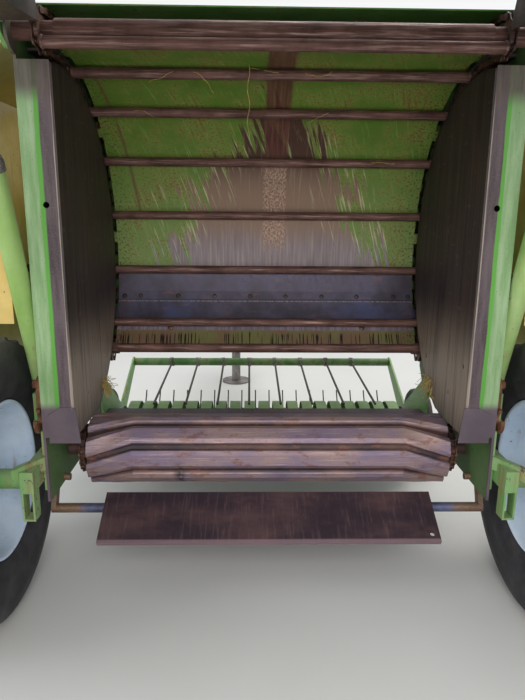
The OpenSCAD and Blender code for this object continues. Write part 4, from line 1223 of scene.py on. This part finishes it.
# %% Profiles of a road wheel
# Columns: distance out from the wheel's middle, radius
CASING = [
    (0.116, 0.2402), (0.128, 0.2490), (0.1363, 0.270), (0.1405, 0.290), (0.1436, 0.294), (0.1440, 0.301),
    (0.1420, 0.305), (0.1446, 0.330), (0.1440, 0.362), (0.1448, 0.366), (0.1446, 0.374), (0.1428, 0.380),
    (0.1392, 0.404), (0.1330, 0.415), (0.118, 0.4205), (0.070, 0.4222), (0.024, 0.4226), (0.021, 0.4290),
]
RIM = [
    (-0.1247, 0.2396), (-0.119, 0.2400), (-0.106, 0.2325), (-0.060, 0.2255), (0.0, 0.2235), (0.060, 0.2255),
    (0.106, 0.2325), (0.119, 0.2400), (0.1247, 0.2396), (0.1262, 0.2340), (0.1235, 0.2290), (0.112, 0.2265),
    (0.034, 0.2170), (0.024, 0.2050), (0.022, 0.1800), (0.030, 0.1300), (0.033, 0.1100), (0.046, 0.0640),
    (0.068, 0.0600), (0.070, 0.0560), (0.070, 0.0301), (-0.070, 0.0301), (-0.070, 0.0560), (-0.066, 0.0620),
    (0.022, 0.0640), (0.026, 0.1100), (0.016, 0.1400), (0.010, 0.1780), (-0.008, 0.2080), (-0.112, 0.2265),
    (-0.1235, 0.2290), (-0.1262, 0.2340),
]
print(len(CASING), "points on half a casing,", len(RIM), "on a rim")

# %% [markdown]
# A lug of the tread is a bent bar that narrows towards its top. Its outline is drawn flat and raised.


# %% Road wheels
def slab(outline, low, high, shrink=0.0):
    """An outline of (x, y) points drawn up along Z, smaller at the top."""
    middle = Vector((sum(x for x, _ in outline), sum(y for _, y in outline))) / len(outline)
    flat = [Vector(point) for point in outline]
    corners = [Vector((*middle.lerp(point, keep), z))
               for z, keep in ((low, 1.0), (high, 1.0 - shrink)) for point in flat]
    count = len(outline)
    sides = [[k, (k + 1) % count, count + (k + 1) % count, count + k] for k in range(count)]
    return corners, sides + [list(range(count)), [count + k for k in range(count)]]


LUG_OUTLINE = [(-0.045, -0.020), (-0.012, -0.013), (0.040, -0.007), (0.040, 0.013), (-0.008, 0.009),
               (-0.045, 0.004)]
LUG = slab(LUG_OUTLINE, -0.006, 0.0085, 0.12)
LUG_COUNT, LUG_RADIUS, LUG_OFFSET = 60, 0.4212, 0.078
NUT_CIRCLE = 0.086


def road_wheel(side, name):
    """A tyre with its tread, a rim, and its cap and nuts."""
    hub = Vector(joints["wheel_spin_" + name]["pos_m"])
    to_hub = Matrix.Translation(hub) @ Matrix.Diagonal((side, 1, 1, 1))
    casing = CASING + [(-x, r) for x, r in reversed(CASING)]
    make("road_tyre_" + name, "wheel_" + name, tyre_rubber,
         [placed(lathe(casing, 72, ring=True), to_hub)], smooth=60, replaces=("tyre_" + name,))
    sample = new_object("lug_part", *LUG)
    finish_mesh(sample.data, 0.0015)
    lugs = new_object("tread_" + name, [Vector((0, 0, 0))], [])
    ring.bake(lugs, {
        "Part": sample, "Finish": tyre_rubber, "Count": LUG_COUNT, "Radius": LUG_RADIUS,
        "Offset": LUG_OFFSET, "Hub": hub,
    })
    bpy.data.objects.remove(sample)
    settle(lugs, "wheel_" + name)
    make("road_rim_" + name, "wheel_" + name, rim_white,
         [placed(lathe(RIM, 72, ring=True), to_hub)], smooth=50, replaces=("rim_" + name,))
    cap = lathe([(0.0702, 0.052), (0.080, 0.050), (0.094, 0.040), (0.100, 0.020), (0.101, 0.004)], 32)
    make("hub_cap_" + name, "wheel_" + name, bolt_zinc, [placed(cap, to_hub)], smooth=50)
    nut = [hexagon(0.027, 0.015), lathe([(0.0, 0.0085), (0.024, 0.0085), (0.026, 0.006)], 12)]
    places = []
    for out, way in ((0.0385, side), (0.0225, -side)):
        seat = hub + Vector((side * out, 0, 0))
        places += [(place, (way, 0, 0)) for place in circle(seat, NUT_CIRCLE, SIXTHS)]
    copy_to("wheel_nuts_" + name, "wheel_" + name, bolt_zinc, nut, places,
            spin=1.0, seed=11 + side)


for side, name in SIDES:
    road_wheel(side, name)
print("two road wheels with", LUG_COUNT, "lugs each")

# %% [markdown]
# The gauge wheels of the pickup are small: a casing with one groove and a pressed disc on a long bush.


# %% Gauge wheels
def gauge_wheel(name):
    """A small tyre on a pressed rim."""
    hub = Vector(joints["gauge_spin_" + name]["pos_m"])
    to_hub = Matrix.Translation(hub)
    wall = [(0.030, 0.096), (0.036, 0.104), (0.0375, 0.125), (0.035, 0.146), (0.026, 0.1565), (0.012, 0.1595),
            (0.010, 0.1570), (0.004, 0.1570), (0.002, 0.1598)]
    casing = wall + [(-x, r) for x, r in reversed(wall)]
    make("gauge_tyre_" + name, "gauge_" + name, tyre_rubber,
         [placed(lathe(casing, 48, ring=True), to_hub)], smooth=60, replaces=("gauge_wheel_" + name,))
    dish = [(-0.033, 0.098), (-0.030, 0.101), (0.030, 0.101), (0.033, 0.098), (0.031, 0.092), (0.008, 0.084),
            (0.006, 0.030), (0.036, 0.026), (0.0375, 0.022), (0.0375, 0.0121), (-0.0375, 0.0121),
            (-0.0375, 0.022), (-0.036, 0.026), (0.000, 0.030), (0.002, 0.084), (-0.031, 0.092)]
    make("gauge_rim_" + name, "gauge_" + name, old_green,
         [placed(lathe(dish, 48, ring=True), to_hub)], smooth=50)


for _, name in SIDES:
    gauge_wheel(name)
print("two gauge wheels")

# %% [markdown]
# ## Pickup reel and windguard
#
# Each tine is one spring wire: two and a quarter turns round its bar and a straight finger that leaves
# the coil on a tangent. The copier grows all of them from one wire. The windguard's wires are tied on
# with a few turns of thinner wire.

# %% Reel and tines
REEL = Vector(joints["reel_spin"]["pos_m"])
BAR_R, BAR_AT, TINE_R, TINE_PITCH = 0.011, 0.082, 0.200, 0.066
WIRE_R = 0.0032
COIL_TURNS, COIL_STEPS = 2.25, 27
coil_r = BAR_R + WIRE_R + 0.0006
wire = []
for k in range(COIL_STEPS + 1):
    a = -math.pi / 2 - (COIL_STEPS - k) * COIL_TURNS * 2 * math.pi / COIL_STEPS
    wire.append(Vector((coil_r * math.cos(a), -0.014 + 0.018 * k / COIL_STEPS, coil_r * math.sin(a))))
finger = ((0.040, 1.0), (0.090, 0.9), (TINE_R - BAR_AT, 0.6))
wire += [Vector((x, 0.0045, -coil_r * drop)) for x, drop in finger]
tine_places, bars = [], []
for b in range(4):
    a = math.radians(45 + 90 * b)
    out = Vector((0, math.cos(a), math.sin(a)))
    bars.append(placed(lathe([(-0.651, 0.004), (-0.651, BAR_R), (0.651, BAR_R), (0.651, 0.004)], 16),
                       Matrix.Translation(REEL + out * BAR_AT)))
    tine_places += [(REEL + out * BAR_AT + Vector(((i - 8.5) * TINE_PITCH, 0, 0)), out) for i in range(18)]
shaft_end = [(0.684, 0.0199), (0.686, 0.0185), (0.686, 0.006)]
shaft = lathe([(-x, r) for x, r in shaft_end[::-1]] + shaft_end, 24)
disc_profile = [(0.6445, 0.0205), (0.6445, 0.092), (0.6450, 0.098), (0.6510, 0.098), (0.6510, 0.036),
                (0.6640, 0.034), (0.6640, 0.0205)]
discs = [lathe([(s * x, r) for x, r in disc_profile], 40, ring=True) for s, _ in SIDES]
make("reel_bars", "reel", shaft_steel,
     bars + [placed(shape, Matrix.Translation(REEL)) for shape in [shaft] + discs], smooth=50,
     replaces=("pickup_reel",))
copy_to("reel_tines", "reel", shaft_steel, [tube(wire, WIRE_R, 6)], tine_places, seed=3)
print(len(tine_places), "tines")

# %% [markdown]
# The windguard keeps its solid. Only the ties are added, one where each wire crosses the tube.

# %% Windguard ties
TIE_R, TIE_STEPS, GUARD_WIRES, GUARD_PITCH = 0.0225, 40, 8, 0.136
knot = [Vector((-0.010 + 0.020 * k / TIE_STEPS, TIE_R * math.cos(k * 0.47), TIE_R * math.sin(k * 0.47)))
        for k in range(TIE_STEPS + 1)]
tie_row = [(i - (GUARD_WIRES - 1) / 2) * GUARD_PITCH for i in range(GUARD_WIRES)]
tie_places = [(GUARD + Vector((x, 0, 0)), (1, 0, 0)) for x in tie_row]
copy_to("windguard_knots", "windguard", bolt_zinc, [tube(knot, 0.0022, 6)], tie_places,
        spin=1.5, seed=5)
print(len(tie_places), "ties")

# %% [markdown]
# ## Hoses
#
# One hydraulic hose lies at each lift cylinder. It leaves a fitting on the side plate, bows outward and
# comes back to the cylinder's foot. The route repeats the points of the solid model. A rounded curve
# through those points keeps the bend as wide as such a hose allows.

# %% Hydraulic hoses
HOSE_ROUTE = [
    (700.3, 180, 1070), (716, 180, 1070), (741, 180, 1068), (766, 180, 1062), (789, 180, 1052),
    (809, 180, 1036), (825, 180, 1017), (837, 180, 994), (843, 179, 969), (844, 176, 944), (840, 172, 919),
    (831, 169, 896), (819, 167, 873), (806, 164, 851), (791, 160, 831), (777, 154, 811), (763, 144, 791),
    (751, 131, 774), (742, 113, 758), (737, 92, 745), (735, 68.0, 734.05), (735, 53.61, 728.58),
]
HOSE_DIAMETER = 0.018


def rounded_route(points, steps=4):
    """Points along a smooth curve through the given ones."""
    dots = []
    for i in range(len(points) - 1):
        p0, p1, p2, p3 = (points[min(max(k, 0), len(points) - 1)] for k in (i - 1, i, i + 1, i + 2))
        for s in range(steps):
            t = s / steps
            dots.append(0.5 * (2 * p1 + (p2 - p0) * t + (2 * p0 - 5 * p1 + 4 * p2 - p3) * t * t
                               + (3 * p1 - p0 - 3 * p2 + p3) * t ** 3))
    return dots + [points[-1]]


def hose(side, name):
    """A hose with a fitting at each end, and its length."""
    dots = rounded_route([at(side * x, y, z) for x, y, z in HOSE_ROUTE])
    data = bpy.data.curves.new("hose_line_" + name, "CURVE")
    data.dimensions = "3D"
    data.bevel_depth = HOSE_DIAMETER / 2
    data.bevel_resolution = 4
    data.use_fill_caps = True
    spline = data.splines.new("POLY")
    spline.points.add(len(dots) - 1)
    for point, dot in zip(spline.points, dots):
        point.co = (*dot, 1)
    spline.use_smooth = True
    data.materials.append(hose_rubber)
    piece = bpy.data.objects.new("hose_line_" + name, data)
    bpy.context.scene.collection.objects.link(piece)
    settle(piece, "frame", ("hose_" + name,))
    length = sum((b - a).length for a, b in zip(dots, dots[1:]))
    nut = lathe([(0.0, 0.0093), (0.0, 0.015), (0.004, 0.015), (0.004, 0.0135), (0.016, 0.0135),
                 (0.018, 0.0093)], 6, ring=True)
    ferrule = lathe([(0.018, 0.0093), (0.018, 0.0122), (0.034, 0.0118), (0.040, 0.0100),
                     (0.040, 0.0093)], 16, ring=True)
    ends = (aimed(dots[0], dots[6] - dots[0]), aimed(dots[-1], dots[-6] - dots[-1]))
    shapes = [placed(shape, end) for end in ends for shape in (nut, ferrule)]
    make("hose_fittings_" + name, "frame", bolt_zinc, shapes)
    return length


print("hoses:", [round(hose(side, name), 3) for side, name in SIDES], "m")

# %% [markdown]
# ## Bolts and bearings
#
# A sheet-metal machine is held by bolts, and they tell the eye its scale. Round heads hold the overlap
# of the curved sheet where hay must slide past. Hexagon heads with washers hold the cross beams at the
# outer plates. Flanged bearings carry the lower shaft and the roller. All of them go through the copier.

# %% Bolts
def bolt(across=0.019, height=0.011):
    """A hexagon head on a washer, pointing along X."""
    return [lathe([(-0.0005, across * 0.66), (0.0022, across * 0.66), (0.0026, across * 0.60)], 16),
            placed(hexagon(across, height), Matrix.Translation((0.0020, 0, 0)))]


SHEET_BOLTS = (-0.573, -0.508, -0.357, -0.210, -0.064, 0.079, 0.226, 0.369, 0.520, 0.581)
COMB_BOLTS = (-0.384, 0.388)
BEAM_R = SHEET_R + 0.021  # middle of the cross beams behind the curved sheet


def sheet_bolts(name, finish, head, degrees, row, vary=0.0):
    """A row of round heads on the curved sheet, at a direction from the chamber's axis."""
    inward = CENTRE - round_centre(1.0, degrees)
    places = [(round_centre(SHEET_R - 0.003, degrees, x), inward) for x in row]
    copy_to(name, "frame", finish, [head], places, vary=vary, seed=4)


def beam_bolts(directions):
    """Two bolts at each end of the cross beams, through the side plates."""
    return [(round_centre(BEAM_R, direction + off, s * SKIN_X), (s, 0, 0))
            for direction in directions for off in (-1.1, 1.1) for s, _ in SIDES]


sheet_bolts("sheet_bolts", shaft_steel, dome(0.0095, 0.0042), -17.4, SHEET_BOLTS, vary=0.06)
sheet_bolts("comb_bolts", chain_rust, dome(0.0115, 0.0036), -29.9, COMB_BOLTS)
skin_places = beam_bolts((84, 45, 5, -24))
skin_places += [(at(s * 700, y, z), (s, 0, 0)) for s, _ in SIDES for y in (668, 732) for z in (706, 754)]
copy_to("skin_bolts", "frame", bolt_zinc, bolt(), skin_places, spin=1.0, vary=0.04, seed=8)
gate_places = [(GATE_UP @ place, out) for place, out in beam_bolts((130, 180, 230))]
copy_to("gate_bolts", "tailgate", bolt_zinc, bolt(), gate_places, spin=1.0, vary=0.04, seed=9)
print(len(skin_places) + len(gate_places) + len(SHEET_BOLTS) + len(COMB_BOLTS), "bolts")

# %% Bearings and the nuts of the latch hooks
bearing = lathe([(0.0002, 0.0256), (0.0002, 0.056), (0.004, 0.056), (0.0055, 0.050), (0.0085, 0.042),
                 (0.0088, 0.0256)], 40, ring=True)
bearing_places = [(LOWER + Vector((s * SKIN_X, 0, 0)), (s, 0, 0)) for s, _ in SIDES]
copy_to("shaft_bearings", "frame", cast_green, [bearing], bearing_places)
bearing_bolts = []
for s, _ in SIDES:
    flange = LOWER + Vector((s * (SKIN_X + 0.004), 0, 0))
    bearing_bolts += [(place, (s, 0, 0)) for place in circle(flange, 0.047, (0.8, 2.4, 3.9, 5.5))]
copy_to("bearing_bolts", "frame", bolt_zinc, [hexagon(0.012, 0.004)], bearing_bolts,
        spin=1.0, seed=2)
hook_nuts = [(at(s * 726, -55, 700), (s, 0, 0)) for s, _ in SIDES]
copy_to("hook_nuts", "frame", hook_rust, [hexagon(0.026, 0.012)], hook_nuts, spin=1.0, seed=2)
print(len(bearing_bolts), "bolts on", len(bearing_places), "bearings")

# %% [markdown]
# ## Lift cylinders
#
# A cylinder ends in a gland: a screwed collar with a wiper that keeps dirt off the rod. Its foot pin has a
# flat head outside the bracket. Both ride on the barrel, so they tilt with it when the tailgate moves.


# %% Glands and pins
CYLINDER_FOOT = (735, 46, 623)
CYLINDER_LEAN = math.radians(20.7968)
BARREL_END = 0.780  # from the foot pin


def cylinder_trim(side, name):
    """The gland, the weld seam and the pin head of one lift cylinder."""
    x, y, z = CYLINDER_FOOT
    foot = at(side * x, y, z)
    way = Vector((0, -math.sin(CYLINDER_LEAN), math.cos(CYLINDER_LEAN)))
    gland = lathe([(-0.030, 0.0301), (-0.030, 0.0330), (-0.004, 0.0330), (0.002, 0.0300), (0.008, 0.0285),
                   (0.010, 0.0240), (0.010, 0.0203), (0.0, 0.0203)], 32, ring=True)
    seam = lathe([(0.0, 0.0298), (0.002, 0.0312), (0.008, 0.0312), (0.010, 0.0298)], 32, ring=True)
    head = lathe([(0.0312, 0.004), (0.0312, 0.020), (0.0355, 0.020), (0.0370, 0.018), (0.0370, 0.004)], 24)
    shapes = [placed(gland, aimed(foot + way * BARREL_END, way)),
              placed(seam, aimed(foot + way * 0.080, way)),
              placed(head, Matrix.Translation(foot) @ Matrix.Diagonal((side, 1, 1, 1)))]
    make("cylinder_trim_" + name, "barrel_" + name, bolt_zinc, shapes, smooth=50)


for side, name in SIDES:
    cylinder_trim(side, name)
print("glands and pins")

# %% [markdown]
# ## Drive line
#
# The drive shaft turns inside a plastic guard with a ribbed bell at each end, and ends in the yoke that
# the tractor takes. One profile turned about the shaft's own line gives guard, ribs and collars; the ribs
# are a list of ridges, so their number is one value.

# %% Drive line
EYE_Y, SHAFT_Y, SHAFT_SLOPE = 2790, FRONT_Y + 300, 4
GUARD_LENGTH = (EYE_Y - 290 - SHAFT_Y) * MM
RIBS = 7
shares = [k / RIBS for k in range(RIBS)]
ridges = [(0.006 + along + 0.120 * share, 0.0835 - 0.022 * share - down)
          for share in shares for along, down in ((0, 0), (0.007, 0.0045))]
bell = [(0.0, 0.040), (0.0, 0.0845)] + ridges + [(0.132, 0.0495), (0.150, 0.0495)]
tubes = [(0.152, 0.0455), (0.700, 0.0455), (0.703, 0.0425), (GUARD_LENGTH - 0.152, 0.0425)]
guard_profile = bell + tubes + [(GUARD_LENGTH - x, r) for x, r in reversed(bell)]
# The yoke's profile starts inside the far bell and is written from its end.
yoke_profile = [(-0.010, 0.020), (-0.010, 0.030), (0.024, 0.030), (0.026, 0.0355), (0.046, 0.0355),
                (0.049, 0.031), (0.078, 0.031), (0.080, 0.029), (0.080, 0.0176), (0.030, 0.0176)]
collar = [(0.0, 0.012), (0.0, 0.034), (0.003, 0.036), (0.057, 0.036), (0.060, 0.034), (0.060, 0.012)]
slope = math.radians(SHAFT_SLOPE)
shaft_line = aimed(at(0, SHAFT_Y + 30, DRIVE_Z), (0, math.cos(slope), -math.sin(slope)))
yoke_line = shaft_line @ Matrix.Translation((GUARD_LENGTH, 0, 0))
make("guard_tube", "frame", guard_plastic,
     [placed(lathe(guard_profile, 48), shaft_line)], smooth=30, replaces=("pto_shaft",))
make("shaft_yokes", "frame", shaft_steel,
     [placed(lathe(yoke_profile, 32), yoke_line),
      placed(lathe(collar, 32), aimed(at(0, SHAFT_Y, DRIVE_Z), (0, 1, 0)))], smooth=40)
print("a guard of", round(GUARD_LENGTH, 3), "m with", RIBS, "ribs on each bell")

# %% Gearbox bolts
gear_places = []
for s, _ in SIDES:
    cover = at(s * 148, FRONT_Y + 100, DRIVE_Z)
    gear_places += [(place, (s, 0, 0)) for place in circle(cover, 0.066, SIXTHS)]
gear_places += [(at(56 * math.cos(a), FRONT_Y + 240, DRIVE_Z + 56 * math.sin(a)), (0, 1, 0)) for a in SIXTHS]
gear_places += [(at(x, y, 954), (0, 0, 1)) for x in (-98, 0, 98) for y in (782, 928)]
copy_to("gearbox_bolts", "frame", bolt_zinc, bolt(0.013, 0.008), gear_places, spin=1.0, seed=6)
print(len(gear_places), "gearbox bolts")

# %% [markdown]
# ## Handles and latches
#
# What hands touch is round steel: a bow handle on each hood, one on the lid of the twine box, and the bent
# crank of the jack. Each is a tube swept along a few rounded points, with a foot plate where it is welded.


# %% Handles
def bow(start, end, out, radius=0.006):
    """A bow handle between two places that stands out along a vector."""
    start, end, out = Vector(start), Vector(end), Vector(out)
    along = (end - start) * 0.12
    path = [start, start + out * 0.7, start + out * 0.93 + along * 0.3, start + out + along,
            end + out - along, end + out * 0.93 - along * 0.3, end + out * 0.7, end]
    foot = lathe([(-0.0005, 0.013), (0.003, 0.013), (0.004, 0.009)], 16)
    feet = [placed(foot, aimed(place, out)) for place in (start, end)]
    return [tube(path, radius, 10)] + feet


HOOD_X = 948
HOOD_BOLTS = ((-40, 930), (-40, 1570), (230, 1570), (620, 1570), (430, 720), (620, 720))
for side, name in SIDES:
    grip = bow(at(side * HOOD_X, 190, 905), at(side * HOOD_X, 70, 905), (side * 0.034, 0, 0))
    make("hood_handle_" + name, "hood_" + name, shaft_steel, grip, smooth=50)
make("lid_handle", "twine_lid", shaft_steel,
     bow(at(-70, 940, 1458), at(70, 940, 1458), (0, 0, 0.032)), smooth=50)
# Columns: place across and height on the jack's own plane
CRANK = ((-165, 748), (-165, 766), (-168, 774), (-180, 778), (-270, 778), (-280, 782), (-284, 792),
         (-284, 872))
JACK_Y = 2414
make("jack_crank", "jack_leg", bolt_zinc,
     [tube([at(x, JACK_Y, z) for x, z in CRANK], 0.008, 12)], smooth=50)
print("three handles and a crank")

# %% Latches of the twine box, and bolts of the hoods
BOX_FRONT = FRONT_Y + 250
LATCH_Y = 1000
# Columns: place across from the latch's middle, ahead of the latch's foot, and height
BAIL = ((-10, 6, 1392), (-10, 8, 1444), (-8, 9, 1450), (8, 9, 1450), (10, 8, 1444), (10, 6, 1392))
box_trim = []
for s, _ in SIDES:
    box_trim.append(block(at(s * 300 - 16, BOX_FRONT, 1378), at(s * 300 + 16, LATCH_Y + 3, 1428)))
    box_trim.append(tube([at(s * 300 + x, LATCH_Y + y, z) for x, y, z in BAIL], 0.0026, 8))
    for z in (1040, 1220, 1400):
        box_trim.append(placed(dome(0.007, 0.003), aimed(at(s * 520, BOX_FRONT, z), (0, 1, 0))))
make("box_latches", "frame", bolt_zinc, box_trim, smooth=45)
for side, name in SIDES:
    hood_bolts = [(at(side * HOOD_X, y, z), (side, 0, 0)) for y, z in HOOD_BOLTS]
    copy_to("hood_bolts_" + name, "hood_" + name, bolt_zinc, [dome(0.008, 0.0035)], hood_bolts,
            vary=0.05, seed=12)
print("two latches,", 2 * len(HOOD_BOLTS), "hood bolts")

# %% [markdown]
# ## Straw
#
# A baler that has worked keeps some straw. One long strand hangs over the upper slats, shorter ones lie
# on them, and tufts are caught where the discs end. Each strand is a thin tube along a wandering line
# with a fixed seed, so the same straw grows on each run.

# %% Straw
def straw_finish():
    """Dry straw, golden with brown lengths."""
    p = Paint("dry_straw")
    cloud = p.noise(0.02, 3)
    colour = p.mix(cloud.rise(0.35, 0.65), rgb(196, 172, 96), rgb(150, 122, 70))
    return p.close(colour, 0.6, 0.0, cloud, 0.0003)


dry_straw = straw_finish()
chance = random.Random(21)


def strand(start, way, length, wander, radius=0.0009, steps=7):
    """One strand that starts somewhere and wanders off along a direction."""
    point, way = Vector(start), Vector(way).normalized()
    path = [point.copy()]
    for _ in range(steps):
        sway = Vector((chance.uniform(-1, 1), chance.uniform(-1, 1), chance.uniform(-1, 1)))
        way = (way + sway * wander).normalized()
        point = point + way * (length / steps)
        path.append(point.copy())
    return tube(path, radius, 5)


# Columns: place across and direction of the slat on which a strand lies
ON_SLATS = ((-0.30, 77.6), (-0.24, 77.6), (0.02, 77.6), (0.10, 77.6), (0.20, 56.4), (0.38, 35.2),
            (-0.46, 56.4))
TUFT = 46  # strands caught at each end of the roller
top_slat = round_centre(SLAT_RUN_R, SLAT_FIRST)
hang = Vector((-0.072, top_slat.y - 0.0172, top_slat.z + 0.030))
hanging = [hang + Vector((0.004 * math.sin(k * 1.1), -0.0008 * k, -0.017 * k)) for k in range(14)]
strands = [tube(hanging, 0.0011, 5)]
for x, degrees in ON_SLATS:
    place = round_centre(SLAT_RUN_R, degrees, x) + Vector((0, -0.0165, 0.003))
    strands.append(strand(place, (chance.choice((-1, 1)), -0.1, -0.2), 0.09, 0.35))
for s, _ in SIDES:
    for _ in range(TUFT):
        start = at(s * chance.uniform(592, 599), chance.uniform(215, 300), chance.uniform(598, 640))
        way = (-s * 0.4, chance.uniform(-0.4, 0.8), -0.8)
        strands.append(strand(start, way, chance.uniform(0.03, 0.07), 0.5))
make("straw", "frame", dry_straw, strands, smooth=60)
print(len(strands), "strands")

# %% [markdown]
# ## The floor
#
# The floor only catches the shadows.

# %% The floor
floor_paint = Paint("pale_floor")
floor_cloud = floor_paint.noise(0.8, 4)
pale_floor = floor_paint.close(
    floor_paint.mix(floor_cloud, rgb(208, 207, 204), rgb(220, 219, 217)), 0.85
)
bpy.ops.mesh.primitive_plane_add(size=60, location=(0, 0, 0))
floor = bpy.context.object
floor.name = "floor"
floor.data.materials.append(pale_floor)
print("the floor is laid")
